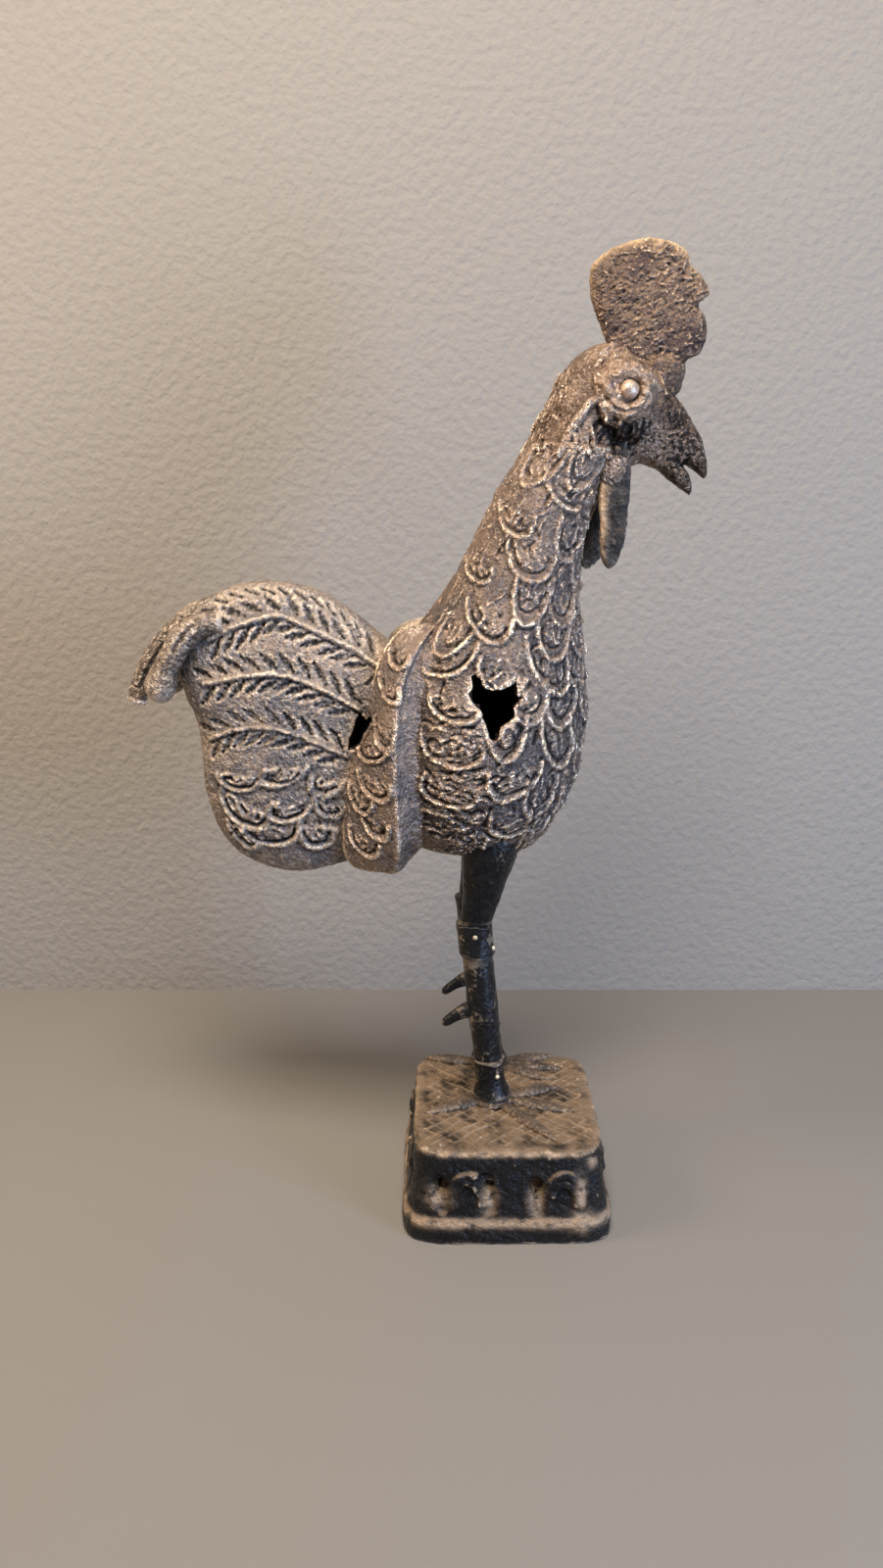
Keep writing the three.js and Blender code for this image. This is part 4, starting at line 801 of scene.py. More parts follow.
@dataclass(frozen=True)
class Patina:
    """A bronze's finish: its colours from the hollows to the worn ridges, in linear light.

    warm is what settles on faces that look up, and smear is what the smear mark shows: earth smears on the
    plinth, and painted highlights on the comb and the near wattle. The hollow colour also shows painted shade
    where the inside mark lowers the wear.
    """

    name: str
    slot: str
    hollow: tuple[float, float, float]
    skin: tuple[float, float, float]
    tint: tuple[float, float, float]
    ridge: tuple[float, float, float]
    bright: tuple[float, float, float]
    warm: tuple[float, float, float]
    smear: tuple[float, float, float] = (0.3, 0.2, 0.12)
    warm_amount: float = 0.5
    cover: tuple[float, float] = (0.36, 0.62)
    facing: tuple[float, float] = (-0.1, 0.8)
    metal: float = 0.7
    rough: float = 0.38
    dull: float = 0.62
    bump: float = 0.7
    gloss: float = 0.5

    def build(self) -> bpy.types.Material:
        """Returns: the finish as a node material."""
        made = bpy.data.materials.new(self.name)
        made.use_nodes = True
        made.diffuse_color = (*self.skin, 1)
        nodes, links = made.node_tree.nodes, made.node_tree.links
        shader = nodes["Principled BSDF"]
        place = nodes.new("ShaderNodeTexCoord").outputs["Object"]

        def put(value, socket: bpy.types.NodeSocket) -> None:
            if isinstance(value, bpy.types.NodeSocket):
                links.new(value, socket)
            else:
                socket.default_value = (*value, 1) if isinstance(value, tuple) else value

        def noise(scale: float, detail: float = 4.0) -> bpy.types.NodeSocket:
            node = nodes.new("ShaderNodeTexNoise")
            put(place, node.inputs["Vector"])
            node.inputs["Scale"].default_value = scale
            node.inputs["Detail"].default_value = detail
            return node.outputs[0]

        def calc(operation: str, *values, clamp: bool = False) -> bpy.types.NodeSocket:
            node = nodes.new("ShaderNodeMath")
            node.operation = operation
            node.use_clamp = clamp
            for i, value in enumerate(values):
                put(value, node.inputs[i])
            return node.outputs[0]

        def step(source, low: float, high: float) -> bpy.types.NodeSocket:
            node = nodes.new("ShaderNodeMapRange")
            node.interpolation_type = "SMOOTHSTEP"
            for i, value in enumerate((source, low, high, 0.0, 1.0)):
                put(value, node.inputs[i])
            return node.outputs[0]

        def mix(share, a, b) -> bpy.types.NodeSocket:
            node = nodes.new("ShaderNodeMix")
            node.data_type = "RGBA"
            for i, value in ((0, share), (6, a), (7, b)):
                put(value, node.inputs[i])
            return node.outputs[2]

        def mark(name: str) -> bpy.types.NodeSocket:
            node = nodes.new("ShaderNodeAttribute")
            node.attribute_name = name
            return node.outputs["Fac"]

        wear_and_shade = calc("MULTIPLY_ADD", mark("wear_and_shade"), 0.5, 0.5)
        speckle = calc("MULTIPLY", calc("SUBTRACT", noise(900, 6), 0.5), 1.15)
        level = calc("ADD", wear_and_shade, speckle, clamp=True)
        colour = mix(step(noise(90, 3), 0.38, 0.6), self.skin, self.tint)
        colour = mix(step(level, 0.08, 0.42), self.hollow, colour)
        colour = mix(step(level, 0.5, 0.95), colour, self.ridge)
        settled = calc("MULTIPLY", step(mark("up"), *self.facing), step(noise(150, 5), *self.cover))
        settled = calc("MULTIPLY", calc("MULTIPLY", settled, step(wear_and_shade, -0.1, 0.25)), self.warm_amount)
        colour = mix(settled, colour, self.warm)
        patchy = calc("MULTIPLY_ADD", noise(170, 3), 1.1, -0.55)
        rubbed = step(calc("ADD", level, patchy), 0.86, 1.2)
        colour = mix(rubbed, colour, self.bright)
        # The smear mark carries earth smears and painted highlights, and both turn less metallic below.
        smear_and_highlight_share = calc("MULTIPLY", mark("smear"), step(noise(260, 5), 0.3, 0.55), clamp=True)
        colour = mix(smear_and_highlight_share, colour, self.smear)
        put(colour, shader.inputs["Base Color"])
        grime_and_highlight = calc("MAXIMUM", settled, calc("MULTIPLY", smear_and_highlight_share, 0.5))
        shine = calc("MULTIPLY_ADD", level, self.rough - self.dull, self.dull)
        shine = calc("ADD", shine, calc("MULTIPLY", calc("SUBTRACT", noise(420, 4), 0.5), 0.35))
        put(calc("ADD", shine, calc("MULTIPLY", grime_and_highlight, 0.3), clamp=True), shader.inputs["Roughness"])
        put(calc("MULTIPLY", calc("SUBTRACT", 1.0, grime_and_highlight), self.metal), shader.inputs["Metallic"])
        shader.inputs["Specular IOR Level"].default_value = self.gloss
        bump = nodes.new("ShaderNodeBump")
        bump.inputs["Strength"].default_value = self.bump
        bump.inputs["Distance"].default_value = 0.75 * MM
        put(calc("MULTIPLY_ADD", noise(560, 3), 1.3, noise(1500, 5)), bump.inputs["Height"])
        put(bump.outputs[0], shader.inputs["Normal"])
        return made


BRONZE = Patina("bronze_patina", "bronze_patina", hollow=(0.022, 0.017, 0.014), skin=(0.215, 0.165, 0.132),
                tint=(0.118, 0.1, 0.096), ridge=(0.58, 0.44, 0.335), bright=(1.0, 0.82, 0.6),
                warm=(0.27, 0.16, 0.095), smear=(0.5, 0.34, 0.23), warm_amount=0.4, metal=0.86, rough=0.18,
                dull=0.38, bump=1.0)
WING_BRONZE = replace(BRONZE, name="wing_bronze", skin=(0.3, 0.23, 0.185), tint=(0.19, 0.158, 0.145))
HEAD_BRONZE = replace(BRONZE, name="head_bronze", skin=(0.29, 0.205, 0.15), tint=(0.13, 0.086, 0.062),
                      cover=(0.42, 0.66))
COMB_BRONZE = Patina("comb_bronze", "bronze_patina", hollow=(0.03, 0.019, 0.016), skin=(0.078, 0.05, 0.042),
                     tint=(0.16, 0.104, 0.072), ridge=(0.36, 0.25, 0.17), bright=(0.95, 0.69, 0.42),
                     warm=(0.45, 0.28, 0.14), smear=(0.78, 0.53, 0.29), warm_amount=0.6, cover=(0.38, 0.64),
                     metal=0.75, rough=0.27, dull=0.5, bump=1.0)
TAIL_BRONZE = Patina("tail_bronze", "bronze_patina", hollow=(0.03, 0.025, 0.022), skin=(0.32, 0.255, 0.208),
                     tint=(0.185, 0.165, 0.16), ridge=(0.6, 0.485, 0.38), bright=(0.88, 0.72, 0.55),
                     warm=(0.27, 0.195, 0.125), warm_amount=0.5, metal=0.7, rough=0.31, dull=0.56, bump=1.0)
SICKLE_BRONZE = replace(TAIL_BRONZE, name="sickle_bronze", skin=(0.15, 0.115, 0.092),
                        tint=(0.09, 0.075, 0.066), smear=(0.62, 0.49, 0.4))
DARK_BRONZE = Patina("dark_bronze", "dark_bronze", hollow=(0.002, 0.002, 0.003), skin=(0.003, 0.003, 0.005),
                     tint=(0.005, 0.0045, 0.005), ridge=(0.012, 0.0115, 0.012), bright=(0.2, 0.155, 0.11),
                     warm=(0.026, 0.019, 0.014), warm_amount=0.25, metal=0.05, rough=0.18, dull=0.28, bump=0.4,
                     gloss=0.24)
PLINTH_BRONZE = Patina("plinth_bronze", "dusty_bronze", hollow=(0.002, 0.002, 0.002),
                       skin=(0.006, 0.0055, 0.006), tint=(0.01, 0.009, 0.009), ridge=(0.022, 0.019, 0.018),
                       bright=(0.55, 0.41, 0.28), warm=(0.2, 0.137, 0.085), smear=(0.42, 0.29, 0.185),
                       warm_amount=0.9, cover=(0.24, 0.6), facing=(0.3, 0.85), metal=0.1, rough=0.18,
                       dull=0.36, gloss=0.22)
FOOT_BRONZE = Patina("foot_bronze", "dusty_bronze", hollow=(0.01, 0.008, 0.007), skin=(0.045, 0.035, 0.029),
                     tint=(0.08, 0.058, 0.043), ridge=(0.3, 0.215, 0.145), bright=(0.9, 0.68, 0.45),
                     warm=(0.25, 0.165, 0.1), warm_amount=0.3, cover=(0.35, 0.62), metal=0.45)
WATTLE_BRONZE = Patina("wattle_bronze", "bronze_patina", hollow=(0.01, 0.008, 0.007),
                       skin=(0.026, 0.021, 0.018), tint=(0.05, 0.038, 0.029), ridge=(0.13, 0.1, 0.075),
                       bright=(0.8, 0.6, 0.4), warm=(0.13, 0.084, 0.05), smear=(0.7, 0.48, 0.3),
                       warm_amount=0.35, metal=0.3, rough=0.34, dull=0.56, gloss=0.3)
# Painted highlight: the eyeball is pale cream all over, the colour of the glint on it.
EYE_HIGHLIGHT_BRONZE = Patina("eye_bronze", "bronze_patina", hollow=(0.1, 0.075, 0.055), skin=(0.6, 0.46, 0.34),
                    tint=(0.5, 0.37, 0.28), ridge=(0.8, 0.62, 0.46), bright=(0.95, 0.8, 0.62),
                    warm=(0.55, 0.38, 0.24), warm_amount=0.3, metal=0.6, rough=0.24, dull=0.34, bump=0.5)
PIN_METAL = Patina("pin_metal", "worn_pin", hollow=(0.12, 0.09, 0.05), skin=(0.4, 0.33, 0.22),
                   tint=(0.34, 0.27, 0.18), ridge=(0.6, 0.5, 0.34), bright=(0.8, 0.7, 0.5),
                   warm=(0.3, 0.2, 0.1), warm_amount=0.2, metal=0.8)


# The cast skin of breast, neck and head, the same on all so that it runs on over their joints.
ROUGH = Relief(band=(0.8, 1.15), thread=(0.42, 0.6), gouge=(-0.6, 0.65), grain=(0.36, 1.2), lumps=(0.5, 7.0))


# Castings

@dataclass
class Workshop:
    """What all castings share."""

    relief: ReliefTree
    finishes: dict[str, bpy.types.Material] = field(default_factory=dict)
    made: list[str] = field(default_factory=list)

    def finish(self, patina: Patina) -> bpy.types.Material:
        """Returns: the patina's material, made on first use."""
        if patina.name not in self.finishes:
            self.finishes[patina.name] = patina.build()
        return self.finishes[patina.name]

    def cast(self, source: Shell | bpy.types.Object, name: str, node: str, patina: Patina, relief: Relief,
             ornament: Ornament | None = None) -> bpy.types.Object:
        """Turns a form into a finished piece.

        Args:
            source: the smooth form.
            name: the piece's name.
            node: the solid that it stands for.
            patina: its finish.
            relief: its skin.
            ornament: the lines on it.

        Returns:
            The finished piece.
        """
        made = source.to_object(name) if isinstance(source, Shell) else source
        self.relief.apply(made, relief, self.finish(patina), ornament)
        self.keep_inside(made)
        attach(made, "root")
        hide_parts(node)
        self.made.append(name)
        return made


    @staticmethod
    def keep_inside(made: bpy.types.Object) -> None:
        """Args: made: a piece, whose relief is brought inside the box of the solids."""
        flat = np.empty(len(made.data.vertices) * 3)
        made.data.vertices.foreach_get("co", flat)
        low, high = (np.array(corner) for corner in CAD_BOX)
        kept = np.clip(flat.reshape(-1, 3), low + [HAIR, HAIR, 0], high - HAIR)
        made.data.vertices.foreach_set("co", kept.ravel())
        made.data.update()


def body_point(rise: np.ndarray, turn: np.ndarray, grow: float = 0.0) -> np.ndarray:
    """Args: rise: heights over the belly. turn: angles from the front. Returns: places on the body."""
    rise, grow = np.asarray(rise, dtype=float), grow - BODY_INSET
    rows = at_rows(BODY_ROWS, np.atleast_1d(rise))
    back, front, half = rows[:, 1], rows[:, 2], rows[:, 3]
    x = (back + front) / 2 + ((front - back) / 2 + grow) * np.cos(turn)
    return np.stack([x, (half + grow) * np.sin(turn), np.broadcast_to(rise + BELLY, x.shape)], axis=-1)


def body_rings(low: float, high: float, count: int, sides: int, grow: float = 0.0) -> np.ndarray:
    """Returns: level rings of the body between two heights, at even steps along its side."""
    fine = np.linspace(low, high, 1500)
    rows = at_rows(BODY_ROWS, fine)
    rises = np.interp(even_steps(np.column_stack([fine, rows[:, 3] + (rows[:, 2] - rows[:, 1]) / 4]), count),
                      np.linspace(0, 1, len(fine)), fine)
    turn = np.linspace(0, 2 * math.pi, sides, endpoint=False)
    return np.stack([body_point(np.full(sides, rise), turn, grow) for rise in rises])


def body_half_width(x: np.ndarray, rise: np.ndarray) -> np.ndarray:
    """Returns: how far the body stands out from the middle plane at places on it."""
    rows = at_rows(BODY_ROWS, np.maximum(rise, 0))
    share = (x - (rows[:, 1] + rows[:, 2]) / 2) / ((rows[:, 2] - rows[:, 1]) / 2)
    return rows[:, 3] * np.sqrt(np.maximum(0, 1 - share * share))


def seated(points: np.ndarray) -> np.ndarray:
    """Returns: the places on the body that are level with the given points."""
    rise = points[:, 2] - BELLY
    rows = at_rows(BODY_ROWS, rise)
    reach = (rows[:, 2] - rows[:, 1]) / 2
    turn = np.arctan2(points[:, 1] / rows[:, 3], (points[:, 0] - (rows[:, 1] + rows[:, 2]) / 2) / reach)
    return body_point(rise, turn)


@dataclass
class Plumage:
    """The scales of breast and neck, which run on over the joint under the head.

    The solids of body_shell carry the same scales' bands, placed by the same rule.
    """

    drawn: list[Scale] = field(default_factory=list)
    # Scales of the side that is best known: left corner, tip and right corner, as X and rise.
    KNOWN = [
        ((9.7, 117.4), (15.9, 107.2), (22.5, 112.6)), ((-3.6, 109.4), (-0.1, 99.8), (6, 104.5)),
        ((-1.6, 100.2), (4.3, 87), (12.6, 96)), ((-13.2, 93.2), (-10.4, 86.3), (-5.9, 90.1)),
        ((-13.4, 81.5), (-7.6, 69.7), (-0.6, 75.5)), ((-26.7, 64.6), (-20.1, 59.4), (-10.4, 68.8)),
        ((-9.7, 65.5), (-4.9, 54), (3.8, 58.7)), ((4, 71.4), (11.6, 54.6), (16.8, 62.9)),
        ((-24.7, 54.1), (-17.8, 46.4), (-9.8, 51)), ((-26.9, 41.7), (-19.5, 33.1), (-9.1, 37.1)),
        ((-27, 28.1), (-21, 20.5), (-10, 23.9)), ((-6.6, 30.7), (-0.5, 22.6), (9, 34)),
        ((-6.1, 16.7), (0, 9.6), (9.3, 16.7)), ((8.8, 47.7), (13.4, 31.6), (19.2, 39.8)),
    ]
    TOP_ROW = 144.0
    FOOT_ROW = 6.0
    ROW_STEP = 9.6
    PITCH = 13.5
    WIDTH = 0.92
    LENGTH = 13.5
    APART = 8.2

    def __post_init__(self) -> None:
        for side in Side:
            for corners in self.KNOWN:
                left, tip, right = (self.on_side(x, rise, side) for x, rise in corners)
                middle = (left + right) / 2
                self.drawn.append(Scale(middle, right - left, tip - middle, len(self.drawn)))
        count, row = 0, 0
        while self.TOP_ROW - row * self.ROW_STEP > self.FOOT_ROW:
            level = self.TOP_ROW - row * self.ROW_STEP
            shape = at_rows(BODY_ROWS, np.array([level]))[0]
            around = 2 * math.pi * math.sqrt((((shape[2] - shape[1]) / 2) ** 2 + shape[3] ** 2) / 2)
            places = max(6, round(around / self.PITCH))
            for k in range(places):
                count += 1
                rise = level + 0.8 * math.sin(3.7 * count)
                turn = 2 * math.pi * (k + 0.5 * (row % 2) + 0.1 * math.sin(2.4 * count)) / places
                width = around / places * (self.WIDTH + 0.06 * math.sin(1.3 * count))
                self.place(rise, turn, width, self.LENGTH + math.sin(5.1 * count))
            row += 1

    @staticmethod
    def on_side(x: float, rise: float, side: Side) -> np.ndarray:
        """Returns: the place on the body that is seen there from one side."""
        out = float(body_half_width(np.array([x]), np.array([rise]))[0])
        return np.array([x, side.value * out, rise + BELLY])

    def place(self, rise: float, turn: float, width: float, length: float) -> None:
        """Puts one scale of the even rows, where it meets none that is there before it."""
        here, beside, below, nape = (
            body_point(np.array([r]), np.array([t]), BODY_INSET)[0]
            for r, t in ((rise, turn), (rise, turn + 0.05), (rise - 2, turn), (rise, math.pi)))
        behind = here[0] < -24 and rise < 66 or here[0] < -2 and rise < 42 and abs(here[1]) > 9
        over_joint = rise > NECK_TOP + 9 and not 2.0 < abs(turn - math.pi) < 2.75
        if behind or over_joint or rise > 66 and here[0] - nape[0] < 3.4:
            return
        down = (below - here) / np.linalg.norm(below - here) * length
        if all(np.linalg.norm(here + down / 2 - s.mid - s.down / 2) > self.APART for s in self.drawn):
            across = (beside - here) / np.linalg.norm(beside - here) * width
            self.drawn.append(Scale(here, across, down, len(self.drawn)))

    def dress(self, ornament: Ornament) -> None:
        """Args: ornament: gets the scales and the long strokes down the nape."""
        for scale in self.drawn:
            for kind, points in scale.lines():
                ornament.add(kind, seated(points), 0)
        rng = np.random.default_rng(SEED + 20)
        for _ in range(260):
            rise, turn = rng.uniform(8, 138), rng.uniform(0, 2 * math.pi)
            levels = np.linspace(rise, rise - rng.uniform(1.5, 5), 6)
            line = body_point(levels, np.full(6, turn) + np.linspace(0, rng.uniform(-0.16, 0.16), 6))
            ornament.add(Line.GOUGE if rng.random() < 0.45 else Line.THREAD, strayed(line, rng, 0.3), 0)
        for _ in range(70):
            rise = rng.uniform(70, 146)
            turn = math.pi + rng.uniform(-0.75, 0.75)
            levels = np.linspace(rise, rise - rng.uniform(4, 10), 7)
            line = body_point(levels, np.full(7, turn) + np.linspace(0, rng.uniform(-0.1, 0.1), 7))
            ornament.add(Line.GOUGE if rng.random() < 0.5 else Line.THREAD, strayed(line, rng, 0.2), 0)


@dataclass
class Body:
    """Breast and neck: a hollow shell with scales all over and a hole in the right breast."""

    shop: Workshop
    plumage: Plumage
    columns: int = 300
    rows: int = 286

    def flank(self, ornament: Ornament) -> None:
        """Draws the short wavy ridges low on both flanks."""
        rng = np.random.default_rng(SEED + 21)
        for side in Side:
            for _ in range(150):
                x, z = rng.uniform(-28, -7), rng.uniform(120, 163)
                if z > 146 and x > -15 or z < 126 and x < -24:
                    continue
                xs = np.linspace(0, rng.uniform(3.5, 10), 9)
                zs = xs * rng.uniform(-0.35, 0.2) + rng.uniform(0.4, 1.0) * np.sin(xs / 3 * math.pi)
                kind = Line.GOUGE if rng.random() < 0.5 else Line.THREAD
                ornament.draw(kind, np.column_stack([x + xs, z + zs]), side, 0.15)

    def make(self) -> None:
        """Builds the piece."""
        rings = body_rings(0, NECK_TOP, self.rows, self.columns)
        low = rings[0]
        middle = low.mean(axis=0)
        foot = [middle + (low - middle) * s - [0, 0, 0.5 * (1 - s)] for s in np.linspace(0.02, 0.97, 20)]
        turn = np.linspace(0, 2 * math.pi, self.columns, endpoint=False)
        lid = [body_point(np.full(self.columns, NECK_TOP + up), turn, -sink)
               for up, sink in ((0.4, 0.15), (0.9, 0.6), (1.6, 1.3), (2.4, 2.2), (2.8, 3.4), (3.0, 6.0))]
        outside = Shell.loft(np.concatenate([np.array(foot), rings, np.array(lid)]))
        ornament = Ornament(outside, SEED, high=BELLY + NECK_TOP + 1.5)
        self.plumage.dress(ornament)
        self.flank(ornament)
        # Painted shade: the lining, seen through the breast hole, gets the whole inside mark.
        lining = Shell.loft(body_rings(2.6, NECK_TOP - 2, 46, 72, -BODY_WALL)).flipped().marked("inside", 1)
        # Paler, browner patches up the neck, from a rise of 68 mm to 108 mm.
        paler_up_neck = 0.2 * np.clip((outside.points[:, 2] - BELLY - 68) / 40, 0, 1)
        hollow = outside.marked("smear", paler_up_neck).pierced(BREAST_HOLE, Side.RIGHT, BODY_WALL + 1.2, 6)
        hollow = hollow.joined(lining.without(BREAST_HOLE, Side.RIGHT, 6))
        self.shop.cast(hollow, "breast_and_neck", "body_shell", BRONZE, ROUGH, ornament)


@dataclass
class Tail:
    """The hollow tail fan, with quills, barbs and scales, and its three sickle feathers."""

    shop: Workshop
    relief: Relief = Relief(band=(0.75, 1.25), thread=(0.7, 1.0), gouge=(-0.85, 0.72),
                            hollow=(-0.5, 0.8), grain=(0.65, 1.4), lumps=(0.5, 7.0))
    QUILLS = [
        [(-92.4, 185.5), (-82.8, 189.9), (-71.2, 192.8), (-63.6, 190.5), (-54.6, 186.0), (-47.0, 182.2),
         (-40.9, 177.7)],
        [(-94.2, 171.8), (-81.8, 174.6), (-71.7, 175.2), (-64.6, 173.7), (-56.4, 170.1), (-46.3, 164.6)],
        [(-93.7, 154.2), (-84.1, 157.9), (-73.6, 158.5), (-65.2, 156.3), (-58.1, 153.3), (-50.5, 150.0)],
    ]
    BARB_STEP = 4.9
    BARB_START = 1.9
    BARB_BACK = 4.9
    BARB_OUT = 3.6
    SCALES = [
        ((-91.5, 143.5), (-84.5, 138.2), (-77.5, 143.0)), ((-76.0, 145.5), (-73.3, 140.0), (-62.6, 146.2)),
        ((-61.5, 143.0), (-59.5, 137.2), (-51.5, 141.5)), ((-90.5, 138.5), (-84.6, 126.8), (-75.3, 130.2)),
        ((-74.6, 134.5), (-72.2, 128.2), (-61.8, 133.6)), ((-60.9, 135.8), (-57.3, 130.0), (-52.0, 132.9)),
        ((-84.5, 126.0), (-73.8, 119.7), (-66.5, 128.1)), ((-66.0, 127.4), (-61.8, 119.1), (-54.4, 125.4)),
        ((-89.0, 128.0), (-84.0, 119.0), (-79.0, 122.0)),
    ]

    def barbs(self, ornament: Ornament, quill: np.ndarray, side: Side) -> None:
        """Cuts the slanting barbs on both sides of a quill, wide in their middle."""
        fine = resample(quill, 400)
        count = int(np.linalg.norm(np.diff(fine, axis=0), axis=1).sum() / self.BARB_STEP)
        way = np.gradient(fine, axis=0)
        way /= np.linalg.norm(way, axis=1)[:, None]
        rng = ornament.rng
        for j in range(count):
            i = round(399 * (j + 0.5) / count)
            along, off = way[i], np.array([-way[i][1], way[i][0]])
            for hand in (-1, 1):
                start = fine[i] + off * hand * (self.BARB_START + rng.uniform(-0.2, 0.2))
                stroke = (off * hand * self.BARB_OUT - along * self.BARB_BACK) * rng.uniform(0.9, 1.15)
                line = start + np.linspace(0, 1, 9)[:, None] * stroke
                square = np.array([-stroke[1], stroke[0]]) / np.linalg.norm(stroke)
                ornament.draw(Line.GOUGE, line, side)
                for aside in (-0.5, 0.5):
                    ornament.draw(Line.GOUGE, line[2:7] + square * aside, side, 0.06)

    def edge_barbs(self, ornament: Ornament, side: Side) -> None:
        """Cuts the short barbs along the top edge."""
        outline = resample(np.array(TAIL_OUTLINE) + [0, BELLY], 240, closed=True)
        top = outline[(outline[:, 1] > 181) & (outline[:, 0] < -42)]
        for p in resample(top[np.argsort(top[:, 0])], 15):
            inward = np.array([TAIL_MIDDLE[0], TAIL_MIDDLE[1] + BELLY]) - p
            inward /= np.linalg.norm(inward)
            along = np.array([inward[1], -inward[0]])
            line = p + inward * 1.6 + np.linspace(0, 1, 5)[:, None] * (inward * 2.2 - along * 3.6)
            ornament.draw(Line.GOUGE, line, side)

    def make(self) -> None:
        """Builds the pieces."""
        outline = resample(np.array(TAIL_OUTLINE) + [0, BELLY], 430, closed=True)
        middle = (TAIL_MIDDLE[0], TAIL_MIDDLE[1] + BELLY)
        fan = pillow(outline, middle, TAIL_HALF_THICKNESS, fullness=TAIL_FULLNESS, thin=TAIL_THIN, rings=165)
        ornament = Ornament(fan, SEED + 1)
        for side in Side:
            for quill in self.QUILLS:
                line = resample(np.array(quill), 60)
                ornament.draw(Line.THREAD, line, side)
                ornament.draw(Line.HOLLOW, line - [0, 1.3], side)
                self.barbs(ornament, np.array(quill), side)
            self.edge_barbs(ornament, side)
            for left, tip, right in self.SCALES:
                ornament.scale(ornament.side_scale(left, tip, right, side))
            for a, b in (((-43.6, 172.2), (-41.4, 175.4)), ((-47.4, 167.8), (-45.4, 166.4))):
                ornament.draw(Line.GOUGE, np.linspace(a, b, 4), side)
        fan = fan.pierced(TAIL_CRACK, Side.RIGHT, 3.4, 3)
        self.shop.cast(fan, "tail_plume", "tail_fan", TAIL_BRONZE, self.relief, ornament)
        self.sickles()

    def sickles(self) -> None:
        """Builds the curved feathers at the tail's end."""
        plain = Relief(grain=(0.3, 1.5), lumps=(0.5, 5.0), gouge=(-0.6, 0.9))
        for name, rows, y, flat in (
            ("middle_sickle", MIDDLE_SICKLE_ROWS, 0.0, 0.62),
            ("right_sickle", SIDE_SICKLE_ROWS, -SIDE_SICKLE_OUT, 1.0),
            ("left_sickle", SIDE_SICKLE_ROWS, SIDE_SICKLE_OUT, 1.0),
        ):
            dense = resample(np.array(rows), 90)
            path = np.column_stack([dense[:, 0], np.full(90, y), dense[:, 1] + BELLY])
            form = tube(path, dense[:, 2], 48, flat)
            ornament = Ornament(form, SEED + 2)
            for k in range(3, 9):
                a, b = path[k * 9], path[min(k * 9 + 7, 89)]
                for s in (-1, 1):
                    if name == "middle_sickle" or k < 5:
                        ornament.add(Line.GOUGE, np.linspace(a + [1.5, s * 3, 2.6], b + [0, s * 3, 0], 5))
            if name == "middle_sickle":
                self.shop.cast(form, name, f"{name}_feather", SICKLE_BRONZE, plain, ornament)
                continue
            near_ball = np.sum((form.points - path[-6] - [0, np.sign(y) * 2.0, 0]) ** 2, axis=1)
            self.shop.cast(form.marked("smear", np.exp(-near_ball / 14)), name, f"{name}_feather",
                           SICKLE_BRONZE, replace(plain, grain=(0.15, 1.5), lumps=(0.3, 5.0)), ornament)


@dataclass
class Wings:
    """The two wings: a sharp ridge out of the breast that falls back to the tail."""

    shop: Workshop
    SCALES = [
        ((-41.5, 176.5), (-36.5, 168.5), (-33.6, 172.5)), ((-41.4, 163.0), (-38.5, 154.0), (-35.4, 158.0)),
        ((-46.6, 156.0), (-43.4, 149.6), (-36.6, 155.2)), ((-46.5, 146.5), (-41.2, 138.0), (-36.5, 143.0)),
        ((-49.5, 141.0), (-46.5, 133.0), (-42.0, 137.0)), ((-46.0, 134.5), (-41.4, 125.5), (-37.4, 130.0)),
        ((-49.8, 128.0), (-45.6, 119.0), (-40.0, 123.0)), ((-38.5, 184.0), (-34.5, 178.0), (-30.5, 182.0)),
    ]

    def form(self, side: Side) -> Shell:
        """Returns: one wing's smooth surface."""
        levels = np.linspace(-6.2, 73.6, 190)
        rows = at_rows(WING_ROWS, levels)
        rings = []
        for (rise, ridge, crease, half), share in zip(rows, np.linspace(0, 1, len(rows))):
            foot = ridge + WING_VALLEY * min(1.0, 0.3 + 0.07 * (rise + 6.4))
            out = float(body_half_width(np.array([foot]), np.array([rise]))[0])
            out = max(out - 0.9, WING_CREASE_OUT / 2)
            curve = np.array([
                (foot + 1.2, out - 1.0), (foot, out), (ridge + 3.6, out * 0.55 + half * 0.45 - 0.9),
                (ridge + 1.3, half - 1.5), (ridge + 0.2, half - 0.1), (ridge - 0.5, half + 0.1),
                (ridge - 2.2, half - 0.8), ((ridge + crease) / 2, half * 0.58 + WING_CREASE_OUT * 0.42 + 0.4),
                (crease + 1.2, WING_CREASE_OUT + 0.8), (crease - 0.8, WING_CREASE_OUT - 1.6),
            ])
            skin = resample(curve, 76)
            back = np.array([(crease + 2, 4.5), ((ridge + crease) / 2, 4.0), (ridge + 2, 4.5)])
            ring = np.vstack([skin, back])
            end = max(0.0, 1 - min(share, 1 - share) / 0.03)
            centre = np.array([ring[:, 0].mean(), min(out, half) * 0.7])
            ring = centre + (ring - centre) * math.sqrt(max(1 - end * end, 0.0004))
            rings.append(np.column_stack([ring[:, 0], side.value * ring[:, 1],
                                          np.full(len(ring), rise + BELLY)]))
        return Shell.loft(np.array(rings))

    def make(self) -> None:
        """Builds the pieces."""
        for side in Side:
            form = self.form(side)
            ornament = Ornament(form, SEED + 3 + side.value)
            for left, tip, right in self.SCALES:
                ornament.scale(ornament.side_scale(left, tip, right, side))
            if side is Side.RIGHT:
                form = form.pierced(TAIL_CRACK, side, 3.4, 7)
            self.shop.cast(form, f"{side.word}_wing_plate", f"{side.word}_wing", WING_BRONZE, ROUGH, ornament)


def head_point(along: np.ndarray, up: np.ndarray, y: np.ndarray) -> np.ndarray:
    """Returns: places given along the head's drooping axis, square to it and out from its middle."""
    x = HEAD_BACK[0] + along * math.cos(HEAD_DROOP) + up * math.sin(HEAD_DROOP)
    z = HEAD_BACK[1] + BELLY - along * math.sin(HEAD_DROOP) + up * math.cos(HEAD_DROOP)
    return np.stack([x, y, z], axis=-1)


